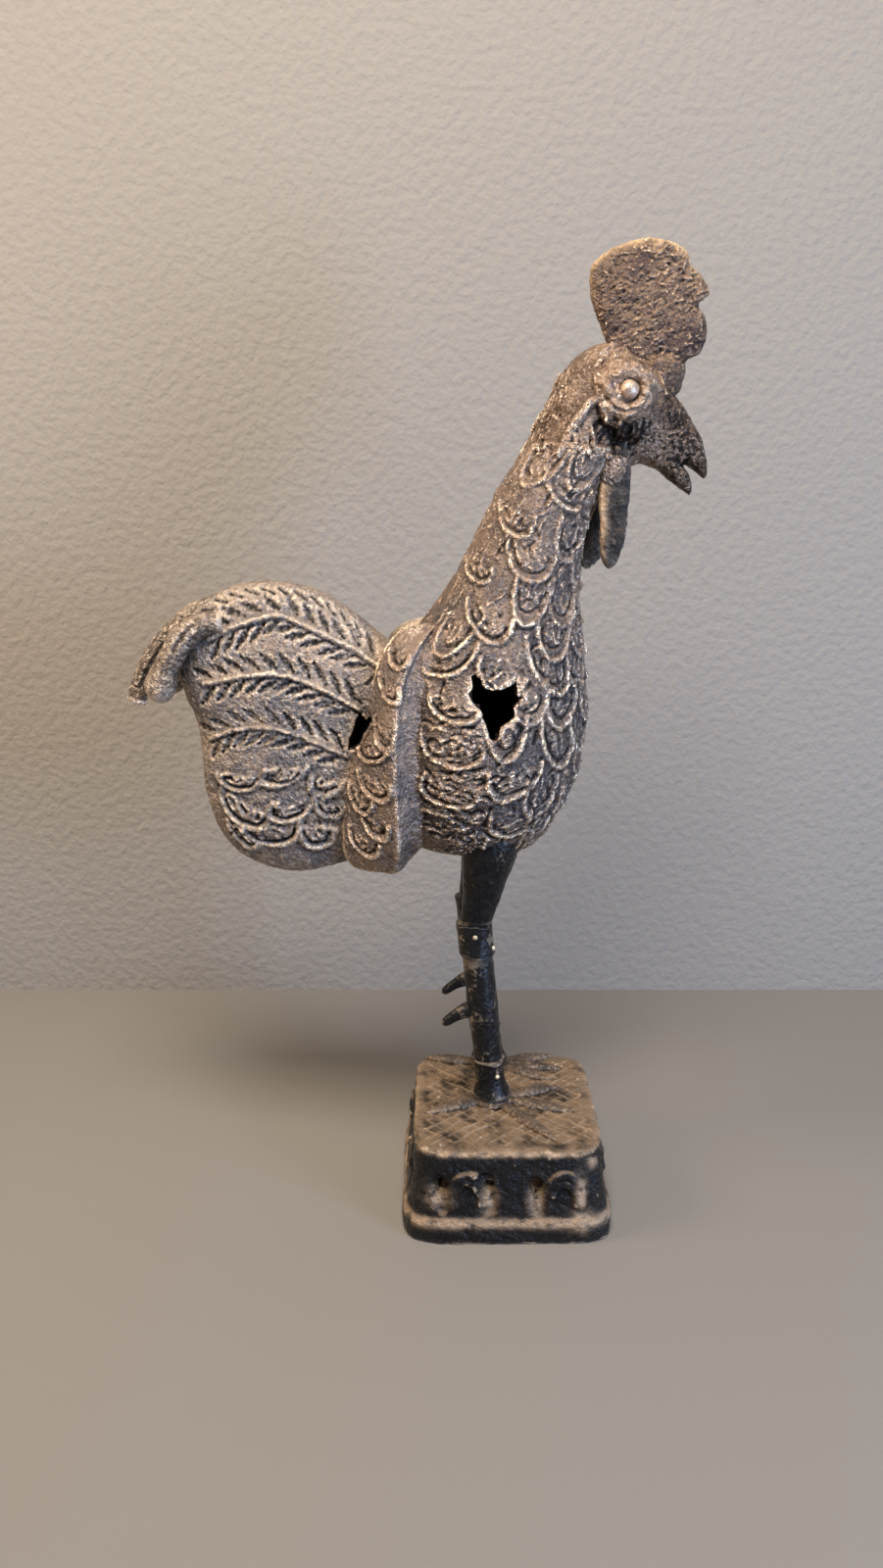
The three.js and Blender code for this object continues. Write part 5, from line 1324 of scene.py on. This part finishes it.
def head_loft(rows: list[tuple], steps: int = 60, sides: int = 56, fullness: float = 2.2) -> Shell:
    """Args: rows: along, low, high and half width. Returns: the skin over those slices."""
    turn = np.linspace(0, 2 * math.pi, sides, endpoint=False)
    power = 2 / fullness
    rings = []
    for along, low, high, half in at_rows(rows, np.linspace(rows[0][0], rows[-1][0], steps)):
        c, s = np.cos(turn), np.sin(turn)
        up = (low + high) / 2 + (high - low) / 2 * np.sign(c) * np.abs(c) ** power
        rings.append(head_point(np.full(sides, along), up, half * np.sign(s) * np.abs(s) ** power))
    return Shell.loft(np.array(rings))


@dataclass
class Head:
    """Head with its open beak, the comb, the eyes and the wattles."""

    shop: Workshop
    plumage: Plumage
    EYE = (32.0, 140.3)
    NEAR_WATTLE = [(27.2, 131), (31.8, 131.5), (33.9, 124), (34.8, 115), (34.4, 104), (33.3, 95.5),
                   (31.6, 90.6), (29.4, 89.4), (27.6, 91.4), (26.4, 98), (26.0, 108), (26.0, 120)]
    FAR_WATTLE = [(22, 128), (28.6, 129), (30.2, 116), (30, 104), (28.6, 94), (26.2, 89.8), (24, 89),
                  (22.2, 91), (21, 98), (20.4, 110)]
    # Raised and carved lines on the head, as X and Z from the side.
    MARKS = [
        (Line.BAND, [(24.6, 255.6), (21.4, 253.6), (18.6, 250), (15.6, 244.6), (13.2, 239.5), (11.4, 235)]),
        (Line.HOLLOW, [(24.4, 248), (26.4, 244.2), (29, 241.6), (32.6, 241)]),
        (Line.THREAD, [(23, 264.4), (27, 268), (32.6, 269.4), (38, 267.2), (42, 262.4), (44, 256.4)]),
        (Line.THREAD, [(24.4, 267), (29, 270.8), (35, 271.4), (40.6, 268.4), (44.4, 263.6), (46.6, 257.6)]),
        (Line.GOUGE, [(25.6, 266), (30, 269.4), (35, 269.8), (40, 267), (43.4, 262)]),
        (Line.HOLLOW, [(26.6, 246.4), (30, 243), (34, 242.6)]),
    ]

    def skull(self) -> None:
        """Builds the head."""
        turn = np.linspace(0, 2 * math.pi, 90, endpoint=False)
        hem = [body_point(np.full(90, NECK_TOP - down), turn, -sink)
               for down, sink in ((3.2, 3.0), (2.2, 1.9), (1.4, 1.0), (0.6, 0.35))]
        neck = Shell.loft(np.concatenate([np.array(hem), body_rings(NECK_TOP, 145, 44, 90)]))
        sockets = [self.lump((self.EYE[0], side.value * 6.2, self.EYE[1] - 0.2), (8.8, 6.6, 8.8))
                   for side in Side]
        jaw = self.lump((33.5, 0, 125.5), (9, 6.2, 6.0))
        throat = self.lump((29.2, -4.0, 122.0), (6.0, 5.4, 11.0))
        made = fused("head_and_beak", [head_loft(SKULL_ROWS), neck, head_loft(UPPER_BEAK_ROWS),
                                       head_loft(LOWER_BEAK_ROWS), jaw, throat, *sockets], 0.42, 4)
        skin = shell_of(made)
        x, _, z = skin.points.T
        warmth = np.clip((x - 20) / 9, 0, 1) * np.clip((46 - x) / 8, 0, 1) * np.clip((z - 252) / 8, 0, 1) * 0.5
        # Painted shade through the inside mark: the beak darkens towards its tip, and a dark patch lies under
        # the eye.
        shade = np.maximum(np.clip((x - 40) / 8, 0, 1) * 0.23,
                           0.34 * np.exp(-((x - 33) / 9) ** 2 - ((z - 246) / 5) ** 2))
        for mark, values in (("smear", warmth), ("inside", shade)):
            made.data.attributes.new(mark, "FLOAT", "POINT").data.foreach_set("value", values)
        ornament = Ornament(skin, SEED + 6, low=BELLY + NECK_TOP - 1.5)
        self.plumage.dress(ornament)
        for side in Side:
            for kind, line in self.MARKS:
                ornament.draw(kind, resample(np.array(line), 26), side, 0.2)
        relief = replace(ROUGH, band=(1.0, 1.9), thread=(0.7, 0.9), gouge=(-0.7, 0.8), hollow=(-1.2, 2.8))
        self.shop.cast(made, "head_and_beak", "head", HEAD_BRONZE, relief, ornament)

    @staticmethod
    def lump(centre: tuple, radii: tuple) -> Shell:
        """Returns: an ellipsoid about a centre, whose height counts from the belly."""
        swing = np.linspace(-math.pi / 2, math.pi / 2, 26)[1:-1]
        turn = np.linspace(0, 2 * math.pi, 40, endpoint=False)
        c, s = np.cos(swing)[:, None], np.sin(swing)[:, None]
        x, y = c * np.cos(turn) * radii[0], c * np.sin(turn) * radii[1]
        z = s * np.ones_like(turn) * radii[2]
        return Shell.loft(np.stack([x, y, z], axis=-1) + np.array(centre) + [0, 0, BELLY])

    def turned(self, profile: list[tuple[float, float]], side: Side, corner: float = 0.0,
               shift: tuple[float, float] = (0, 0)) -> Shell:
        """Args: profile: radius and height over the eye's seat. Returns: the turned form."""
        rows = resample(np.array(profile, dtype=float), 54)
        turn = np.linspace(0, 2 * math.pi, 120, endpoint=False)
        bulge = 1 + corner * np.exp(-((turn - 2.8) / 0.3) ** 2)
        wave = 1 + (0.035 * np.sin(3 * turn + 1) + 0.02 * np.sin(7 * turn)) * (corner > 0)
        x = self.EYE[0] + shift[0] + rows[:, :1] * bulge * wave * np.cos(turn)
        z = self.EYE[1] + BELLY + shift[1] + rows[:, :1] * wave * np.sin(turn)
        y = side.value * (11.9 + rows[:, 1:] - 0.014 * (x - self.EYE[0]) ** 2)
        return Shell.loft(np.stack([x, y, z], axis=-1))

    def eyes(self) -> None:
        """Builds the eyes and the rings round them."""
        for side in Side:
            lid = self.turned([(8.8, -4.5), (9.2, -2.9), (8.9, -1.0), (8.0, 0.9), (6.7, 2.2), (5.4, 2.7),
                               (4.2, 2.3), (3.3, 1.3), (2.8, -0.2), (2.6, -2.4)], side, 0.22)
            ornament = Ornament(lid, SEED + 10)
            turn = np.radians(np.linspace(200, 345, 24))
            x, z = self.EYE[0] + 6.3 * np.cos(turn), self.EYE[1] + BELLY + 6.1 * np.sin(turn)
            ornament.draw(Line.GOUGE, np.column_stack([x, z]), side, 0.3)
            self.shop.cast(lid.marked("smear", 0.55), f"{side.word}_eyelid", f"{side.word}_eye_ring",
                           HEAD_BRONZE, Relief(grain=(0.5, 1.6), lumps=(1.1, 4.0), gouge=(-0.8, 0.8)), ornament)
            # The eyeball is a small dome in pale cream, a painted highlight.
            ball = self.turned([(2.9, -3), (2.9, 0.4), (2.7, 1.6), (2.1, 2.7), (1.3, 3.3), (0.6, 3.5),
                                (0.05, 3.55)], side, 0, (0.5, 0.2))
            self.shop.cast(ball, f"{side.word}_eyeball", f"{side.word}_eye", EYE_HIGHLIGHT_BRONZE,
                           Relief(grain=(0.16, 1.2), lumps=(0.3, 3.0), wear_height=0.12))

    def comb(self) -> None:
        """Builds the comb."""
        outline = resample(np.array(COMB_OUTLINE) + [0, BELLY], 420, closed=True)
        form = pillow(outline, (41.0, 161.0 + BELLY), 3.0, fullness=3.2, rings=105)
        root = self.lump((43.5, 0, 146.5), (7.4, 4.6, 7.0))
        made = fused("comb_plate", [form, root], 0.36, 1)
        ornament = Ornament(shell_of(made), SEED + 7)
        rng = ornament.rng
        for side in Side:
            for _ in range(330):
                x, z = rng.uniform(23, 55), rng.uniform(266, 299)
                if in_polygon(np.array([[x, z]]), outline)[0]:
                    tilt = rng.uniform(-0.5, 0.9)
                    way = np.array([math.cos(tilt), math.sin(tilt)]) * rng.uniform(0.8, 2.6)
                    kind = (Line.GOUGE, Line.THREAD)[int(rng.integers(2))]
                    ornament.draw(kind, np.array([x, z]) + np.linspace(0, 1, 4)[:, None] * way, side, 0.2)
        for at in np.linspace(0.0, 1.0, 7):
            x, z = 39.5 + 11.5 * at, 299.8 - 5.6 * at ** 1.6
            ornament.add(Line.GOUGE, np.array([[x, -3.5, z], [x - 0.3, 0, z - 0.2], [x, 3.5, z]]))
        relief = Relief(grain=(0.24, 0.9), lumps=(0.7, 6.0), gouge=(-0.28, 0.42), thread=(0.34, 0.4),
                        wear_height=0.36)
        skin = shell_of(made)
        x, _, z = skin.points.T
        edge = np.exp(-distance_to(np.vstack([outline, outline[:1]]), skin.points[:, [0, 2]]) / 1.1)
        # Painted highlight: a pale gold band along the comb's edge, strongest high up, and a paler top, through
        # the smear mark.
        painted_highlight = 0.8 * edge ** 2 * np.clip((z - 281) / 12, 0, 1)
        painted_highlight += 0.4 * np.clip((z + 0.2 * x - 302) / 5, 0, 1)
        # Painted shade over the comb's left side, through the inside mark.
        shade = 0.11 * np.exp(-((x - 25) / 9) ** 2 - ((z - 284) / 12) ** 2) * (1 - edge)
        for mark, values in (("smear", painted_highlight), ("inside", shade)):
            made.data.attributes.new(mark, "FLOAT", "POINT").data.foreach_set("value", values)
        self.shop.cast(made, "comb_plate", "comb", COMB_BRONZE, relief, ornament)

    def wattles(self) -> None:
        """Builds the wattles."""
        for side, outline, y in ((Side.RIGHT, self.NEAR_WATTLE, -5.8), (Side.LEFT, self.FAR_WATTLE, 4.2)):
            dense = resample(np.array(outline, dtype=float) + [0, BELLY], 220, closed=True)
            form = pillow(dense, (30.2 if side is Side.RIGHT else 25.4, 105 + BELLY), 2.0, y=y, fullness=3.6,
                          rings=50)
            x, _, z = form.points.T
            # Painted highlight down the near wattle's left rim, through the smear mark.
            lit = np.exp(-((x - 26.4) / 1.5) ** 2) * np.clip((z - 203) / 6, 0, 1) * (side is Side.RIGHT)
            self.shop.cast(form.marked("smear", lit), f"{side.word}_wattle_plate", f"{side.word}_wattle",
                           WATTLE_BRONZE, Relief(grain=(0.34, 1.5), lumps=(0.9, 5.0)))

    def make(self) -> None:
        """Builds the pieces."""
        self.skull()
        self.comb()
        self.eyes()
        self.wattles()


@dataclass
class Leg:
    """One leg: thigh, knee sleeve, shank, spur, ankle collar, pins and foot."""

    shop: Workshop
    side: Side
    THIGH = [(0, -10.1, 5.2, 5.2), (4.9, -9, 5.6, 5.5), (13.2, -7.5, 6.9, 6.6), (19.8, -6.4, 8.2, 7.8),
             (24, -6, 9.0, 8.6), (30, -6, 10.0, 9)]
    TOES = {
        Side.RIGHT: [(19, 24.5), (-17, 28), (-53, 32), (201, 25)],
        Side.LEFT: [(13, 24), (-9, 26), (-30, 23), (170, 24)],
    }

    SATIN = Relief(grain=(0.14, 1.8), lumps=(0.4, 6.0), thread=(0.4, 0.55), wear_height=0.34)

    @property
    def y(self) -> float:
        """Where the leg stands, from the middle plane."""
        return self.side.value * LEG_OUT

    def x(self, z: np.ndarray) -> np.ndarray:
        """Returns: the shank's middle at a height over the ground."""
        return -3.8 - 6.3 * (np.asarray(z, dtype=float) - PLINTH_TOP) / 58.5

    def bar(self, rows: list[tuple[float, float]], steps: int = 60, sides: int = 44) -> Shell:
        """Args: rows: height and radius. Returns: a round form along the shank."""
        dense = resample(np.array(rows, dtype=float), steps)
        path = np.column_stack([self.x(dense[:, 0]), np.full(steps, self.y), dense[:, 0]])
        turn = np.linspace(0, 2 * math.pi, sides, endpoint=False)
        ring = np.stack([np.cos(turn), np.sin(turn), np.zeros(sides)], axis=-1)
        return Shell.loft(path[:, None] + ring[None] * dense[:, 1][:, None, None])

    def thigh(self) -> None:
        """Builds the thigh, a funnel into the belly."""
        rows = at_rows(self.THIGH, np.linspace(0, 30, 70))
        turn = np.linspace(0, 2 * math.pi, 64, endpoint=False)
        rings = np.array([np.column_stack([x + a * np.cos(turn), self.y + b * np.sin(turn),
                                           np.full(64, 94.8 + h)]) for h, x, a, b in rows])
        self.cast(Shell.loft(rings), "thigh", self.SATIN)

    def cast(self, form: Shell, part: str, relief: Relief, patina: Patina = DARK_BRONZE,
             ornament: Ornament | None = None) -> None:
        """Casts a piece of this leg for the node of the same name."""
        node = f"{self.side.word}_{part}"
        self.shop.cast(form, f"{node}_casting", node, patina, relief, ornament)

    def shank(self) -> None:
        """Builds the shank with its sleeve, collar, spur and pins."""
        self.cast(self.bar([(83.8, 4.9), (75, 5.0), (66, 5.2), (58, 4.9), (50, 4.6), (46, 4.6), (30.9, 3.2)]),
                  "shank", self.SATIN)
        sleeve = self.bar([(83.4, 4.9), (83.6, 5.5), (84.4, 5.8), (86.5, 5.75), (89, 5.7), (92, 5.75),
                           (93.9, 5.9), (94.7, 5.7), (95.1, 5.0)])
        self.cast(sleeve, "knee_sleeve", self.SATIN, ornament=self.rims(sleeve, (84.1, 94.5), 5.8))
        collar = self.bar([(33.0, 5.3), (33.4, 6.2), (34.6, 6.0), (37, 5.2), (41, 4.95), (45, 5.0),
                           (46.2, 5.25), (46.8, 4.5)])
        self.cast(collar, "ankle_collar", self.SATIN, ornament=self.rims(collar, (46.1,), 5.2))
        self.spur()
        root = PLINTH_TOP + 11
        for part, z, turn, out in (("knee_upper_pin", 91.6, 90, 5.9), ("knee_lower_pin", 86.4, 20, 5.9),
                                   ("ankle_pin", root, 62, 5.3)):
            self.pin(part, z, math.radians(turn) * self.side.value, out)

    def rims(self, form: Shell, heights: tuple[float, ...], radius: float) -> Ornament:
        """Returns: uneven raised lines round a sleeve."""
        ornament = Ornament(form, SEED + 8)
        for z in heights:
            for start, end in ((-2.6, -0.7), (0.1, 2.3)):
                turn = np.linspace(start, end, 26)
                wave = z + 0.5 * np.sin(turn * 3 + z)
                ornament.add(Line.THREAD, np.column_stack([self.x(wave) + radius * np.cos(turn),
                                                           self.y + radius * np.sin(turn), wave]), 0.15)
        return ornament

    def spur(self) -> None:
        """Builds the spur behind the shank."""
        start = np.array([float(self.x(63.5)) - 2.5, self.y, 64.6])
        way = np.array([-math.cos(math.radians(30)), 0, -math.sin(math.radians(30))])
        steps = np.linspace(0, 1, 30)
        bend = np.column_stack([np.zeros(30), np.zeros(30), 0.9 * np.sin(steps * math.pi)])
        path = start + way * (steps * 12.6)[:, None] + bend
        radii = np.interp(steps, [0, 0.2, 0.55, 0.85, 0.96, 1], [3.0, 2.7, 2.0, 1.6, 1.2, 0.3])
        self.cast(tube(path, radii, 28), "spur", self.SATIN)

    def pin(self, part: str, z: float, turn: float, out: float) -> None:
        """Builds one pin's visible head."""
        way = np.array([math.cos(turn), math.sin(turn), 0])
        middle = np.array([float(self.x(z)), self.y, z])
        reach = np.array([-0.4, 0.1, 0.35, 0.5])
        path = middle + way * (out + reach)[:, None]
        self.cast(tube(path, np.array([0.85, 0.78, 0.5, 0.12]), 16), part,
                  Relief(grain=(0.05, 1.0), lumps=(0.05, 3.0), wear_height=0.1), PIN_METAL)

    def foot(self) -> None:
        """Builds the foot: toes of three joints each, round a hub."""
        forms = []
        hub = np.array([-3.8, self.y, FOOT_LEVEL])
        for turn, length in self.TOES[self.side]:
            way = np.array([math.cos(math.radians(turn)), math.sin(math.radians(turn)), 0])
            s = np.linspace(0, 1, 60)
            radii = np.interp(s, [0, 0.24, 0.5, 0.75, 0.93, 1], [2.2, 1.7, 2.7, 2.2, 1.1, 0.3])
            path = hub + way * (s * length)[:, None]
            form = tube(path, radii, 24)
            form.points[:, 2] = FOOT_LEVEL + (form.points[:, 2] - FOOT_LEVEL) * 0.7
            form.points[:, 2] = np.maximum(form.points[:, 2], FOOT_LEVEL - 0.25)
            forms.append(form)
        hub_rows = [(FOOT_LEVEL - 0.2, 6.6), (FOOT_LEVEL + 0.8, 6.2), (FOOT_LEVEL + 1.7, 5.2),
                    (FOOT_LEVEL + 2.6, 4.2)]
        forms.append(self.bar(hub_rows, 20, 40))
        made = fused(f"{self.side.word}_foot_casting", forms, 0.36, 3)
        node = f"{self.side.word}_foot"
        relief = Relief(grain=(0.25, 1.4), lumps=(0.3, 4.0))
        self.shop.cast(made, made.name, node, FOOT_BRONZE, relief)

    def make(self) -> None:
        """Builds the pieces."""
        self.thigh()
        self.shank()
        self.foot()


@dataclass
class Plinth:
    """The hollow square plinth."""

    shop: Workshop
    # Height and growth past the top's edge, from the rim under the foot up to the top face.
    PROFILE = [(0.1, 2.5), (0.4, 3.1), (1.8, 3.4), (4.2, 3.3), (6.6, 3.1), (7.9, 2.6), (8.8, 1.9), (12, 1.3),
               (17, 0.8), (22, 0.2), (25.2, -0.2), (27.6, -0.35), (29.2, -0.5), (30.1, -1.1), (30.45, -2.4)]
    HOLES = [(-20.6, 18.8, 1.6, 2.4), (-5.8, 19.1, 1.0, 1.2), (9.1, 18.8, 1.6, 2.4)]
    # Leaf shapes between the holes, curled over like hooks: middle X, half width and height
    HOOKS = [(-12.8, 5.6, 8.2), (17.4, 5.8, 8.0)]
    # Where light earth clings under the holes: X, Z, half width, half height
    SMEARS = [(-22.2, 15.2, 3.6, 2.8), (-6.2, 14.4, 2.2, 4.2), (8.8, 14.4, 2.2, 4.2), (22.6, 16.5, 1.6, 5.0),
              (22.8, 7.4, 3.4, 3.0), (26.5, 26.4, 1.6, 2.0)]

    def ring(self, z: float, grow: float, count: int) -> np.ndarray:
        """Returns: a square with round corners and slightly bowed sides."""
        half = np.array(PLINTH_HALF) + grow
        turn = np.linspace(0, 2 * math.pi, count * 4, endpoint=False)
        power = 2 / np.interp(half.min(), [2, 30], [2.2, 7.5])
        c, s = np.cos(turn), np.sin(turn)
        square = np.column_stack([np.sign(c) * np.abs(c) ** power, np.sign(s) * np.abs(s) ** power]) * half
        even = np.vstack([square, square[:1]])
        run = np.concatenate([[0], np.cumsum(np.linalg.norm(np.diff(even, axis=0), axis=1))])
        marks = np.linspace(0, run[-1], count, endpoint=False)
        x, y = (np.interp(marks, run, even[:, k]) for k in (0, 1))
        return np.column_stack([x, y + PLINTH_BEHIND, np.full(count, z)])

    def form(self, count: int = 500) -> Shell:
        """Returns: the plinth's surface, outside and inside."""
        outer = resample(np.array(self.PROFILE), 74)
        rings = [self.ring(z, grow, count) for z, grow in outer]
        rings += [self.ring(30.45, grow, count) for grow in np.linspace(-3.9, -29.5, 58)]
        wall = [(0.1, 0.9), (0.3, -0.2), (8, -1.4), (18, -3.0), (26.4, -4.9), (27.0, -6.5), (27.0, -16),
                (27.0, -29.5)]
        inner = [self.ring(z, grow, count) for z, grow in wall]
        shell = Shell.loft(np.array(inner[::-1] + rings))
        # Painted shade: most of the inner wall, seen through the holes, gets a quarter of the inside mark.
        inside = np.zeros(len(shell.points))
        inside[: count * (len(wall) - 1)] = 0.25
        x, y, z = shell.points.T
        smear = np.zeros(len(x))
        for at, height, wide, tall in self.SMEARS:
            for way in (1, -1):
                spot = np.exp(-((way * x - at) / wide) ** 2 - ((z - height) / tall) ** 2)
                smear = np.maximum(smear, spot * ((y - PLINTH_BEHIND) * way < -28))
        around = np.maximum(np.abs(x) / PLINTH_HALF[0], np.abs(y - PLINTH_BEHIND) / PLINTH_HALF[1])
        smear = np.maximum(smear, 0.85 * np.exp(-((z - 7.0) / 1.3) ** 2) * (around > 0.9))
        uneven = 0.7 + 0.3 * np.sin(0.9 * x + 1.3) * np.sin(0.7 * y)
        smear = np.maximum(smear, 1.1 * uneven * np.exp(-((z - 29.4) / 0.8) ** 2) * (around > 0.9))
        return shell.marked("inside", inside).marked("smear", smear)

    def ornament(self, form: Shell) -> Ornament:
        """Returns: the arches on the sides and the hatching on the top."""
        made = Ornament(form, SEED + 9)
        front = PLINTH_BEHIND - PLINTH_HALF[1] - 2
        back = PLINTH_BEHIND + PLINTH_HALF[1] + 2
        for wall in range(4):
            for x, width, height in self.HOOKS:
                turn = np.radians(np.linspace(-14, 158, 22))
                line = np.column_stack([x + width * np.cos(turn), 14.6 + height * np.sin(turn)])
                for inward in (1.0, 0.72):
                    hook = [x, 14.6] + (line - [x, 14.6]) * inward
                    made.add(Line.BAND, self.on_wall(hook, wall, front, back), 0.3)
            for x, z, *_ in self.HOLES:
                pit = np.column_stack([x - 1.4 + np.linspace(0, 1, 6), np.linspace(z + 2, z - 7, 6)])
                made.add(Line.HOLLOW, self.on_wall(pit, wall, front, back), 0.3)
        for k in range(-12, 13):
            for slope in (1, -1):
                x = np.linspace(-26, 26, 30)
                y = slope * (x * 0.9 - k * 5.2)
                keep = np.abs(y) < 27
                if keep.sum() > 3:
                    made.add(Line.THREAD, np.column_stack([x[keep], y[keep] + PLINTH_BEHIND,
                                                          np.full(keep.sum(), 30.5)]), 0.35)
        return made

    @staticmethod
    def on_wall(line: np.ndarray, wall: int, front: float, back: float) -> np.ndarray:
        """Args: line: along a side and up. wall: which side. Returns: the line close to that side."""
        along, z = line[:, 0], line[:, 1]
        reach = PLINTH_HALF[0] + 2
        if wall < 2:
            return np.column_stack([along, np.full(len(line), front if wall == 0 else back), z])
        return np.column_stack([np.full(len(line), reach if wall == 2 else -reach),
                                along + PLINTH_BEHIND, z])

    def make(self) -> None:
        """Builds the piece."""
        form = self.form()
        ornament = self.ornament(form)
        top = form.points[:, 2] > PLINTH_TOP - 0.3
        gaps = [distance_to(line[:, :2], form.points[top, :2]) for line in ornament.lines[Line.THREAD]]
        x, y, _ = form.points[top].T
        broken = np.clip(0.55 + 0.45 * np.sin(0.37 * x + 1.9) * np.sin(0.29 * y + 0.6), 0, 1)
        form.marks["smear"][top] = np.maximum(form.marks["smear"][top],
                                              0.62 * broken * np.exp(-(np.min(gaps, axis=0) / 0.4) ** 2))
        for x, z, half_width, half_height in self.HOLES:
            turn = np.linspace(0, 2 * math.pi, 14, endpoint=False)
            outline = [(x + half_width * math.cos(t) * (1 + 0.2 * math.sin(3 * t)),
                        z - BELLY + half_height * math.sin(t)) for t in turn]
            form = form.pierced(outline, Side.RIGHT, 3.6, 38)
        relief = Relief(band=(1.0, 2.0), thread=(0.42, 0.5), hollow=(-1.2, 3.4), grain=(0.32, 1.8),
                        lumps=(0.7, 7.0), wear_height=0.42)
        self.shop.cast(form, "plinth_casting", "plinth", PLINTH_BRONZE, relief, ornament)


# Stage

@dataclass
class Studio:
    """Floor, wall, lamps and camera."""

    wall: float = 137.5
    floor_colour: tuple[float, float, float] = (0.215, 0.195, 0.172)
    wall_colour: tuple[float, float, float] = (0.28, 0.25, 0.215)

    def plain(self, name: str, colour: tuple, scale: float, strength: float) -> bpy.types.Material:
        """Returns: a matt finish with a faint stipple, clear from behind so that it hides no piece."""
        made = bpy.data.materials.new(name)
        made.use_nodes = True
        nodes, links = made.node_tree.nodes, made.node_tree.links
        shader = nodes["Principled BSDF"]
        shader.inputs["Base Color"].default_value = (*colour, 1)
        shader.inputs["Roughness"].default_value = 0.85
        noise = nodes.new("ShaderNodeTexNoise")
        links.new(nodes.new("ShaderNodeTexCoord").outputs["Object"], noise.inputs["Vector"])
        noise.inputs["Scale"].default_value = scale
        bump = nodes.new("ShaderNodeBump")
        bump.inputs["Strength"].default_value = strength
        bump.inputs["Distance"].default_value = MM
        links.new(noise.outputs[0], bump.inputs["Height"])
        links.new(bump.outputs[0], shader.inputs["Normal"])
        sides = nodes.new("ShaderNodeMixShader")
        links.new(nodes.new("ShaderNodeNewGeometry").outputs["Backfacing"], sides.inputs[0])
        links.new(shader.outputs[0], sides.inputs[1])
        links.new(nodes.new("ShaderNodeBsdfTransparent").outputs[0], sides.inputs[2])
        links.new(sides.outputs[0], nodes["Material Output"].inputs[0])
        return made

    def plane(self, name: str, corners: list[tuple], material: bpy.types.Material) -> None:
        """Builds a flat backdrop."""
        mesh = bpy.data.meshes.new(name)
        mesh.from_pydata(Frame.to_row(np.array(corners, dtype=float)).tolist(), [], [(0, 1, 2, 3)])
        made = bpy.data.objects.new(name, mesh)
        mesh.materials.append(material)
        bpy.context.scene.collection.objects.link(made)

    def lamp(self, name: str, place: tuple, aim: tuple, size: float, power: float, colour: tuple) -> None:
        """Hangs a soft square lamp."""
        data = bpy.data.lights.new(name, "AREA")
        data.size = size
        data.energy = power
        data.color = colour
        made = bpy.data.objects.new(name, data)
        at, to = (Vector(Frame.to_row(np.array([p], dtype=float))[0]) for p in (place, aim))
        made.location = at
        made.rotation_euler = (to - at).to_track_quat("-Z", "Y").to_euler()
        bpy.context.scene.collection.objects.link(made)

    def make(self) -> None:
        """Builds the stage."""
        y = self.wall
        self.plane("floor", [(-1500, -1500, 0), (1500, -1500, 0), (1500, y, 0), (-1500, y, 0)],
                   self.plain("floor_finish", self.floor_colour, 400, 0.05))
        self.plane("wall", [(-1500, y, 0), (1500, y, 0), (1500, y, 1500), (-1500, y, 1500)],
                   self.plain("wall_finish", self.wall_colour, 280, 0.9))
        self.lamp("key", (-40, -330, 800), (-20, 0, 200), 0.28, 7.6, (1.0, 0.91, 0.8))
        self.lamp("fill", (480, -440, 190), (10, 0, 150), 0.22, 4.8, (0.44, 0.63, 1.0))
        self.lamp("glow", (-480, -120, 400), (-20, 0, 170), 0.2, 1.8, (1.0, 0.8, 0.6))
        world = bpy.data.worlds.new("studio")
        bpy.context.scene.world = world
        world.use_nodes = True
        shade = world.node_tree.nodes["Background"]
        shade.inputs[0].default_value = (0.92, 0.95, 1.0, 1)
        shade.inputs[1].default_value = 0.13
        data = bpy.data.cameras.new("camera")
        data.sensor_fit = "VERTICAL"
        data.sensor_height = 36
        data.lens = 25.875
        camera = bpy.data.objects.new("camera", data)
        camera.location = Frame.to_row(np.array([[-21.1, -352.2, 232.0]]))[0]
        camera.rotation_euler = (math.radians(75), 0, 0)
        bpy.context.scene.collection.objects.link(camera)
        bpy.context.scene.camera = camera
        bpy.context.scene.view_settings.view_transform = "Standard"


def main() -> None:
    """Builds the stage and the castings in order, and reports the pieces."""
    logging.basicConfig(level=logging.INFO, format="%(name)s: %(message)s")
    Studio().make()
    shop = Workshop(ReliefTree())
    Plinth(shop).make()
    for side in Side:
        Leg(shop, side).make()
    plumage = Plumage()
    Body(shop, plumage).make()
    Tail(shop).make()
    Wings(shop).make()
    Head(shop, plumage).make()
    LOG.info("%d pieces: %s", len(shop.made), ", ".join(shop.made))


if __name__ == "__main__":
    main()
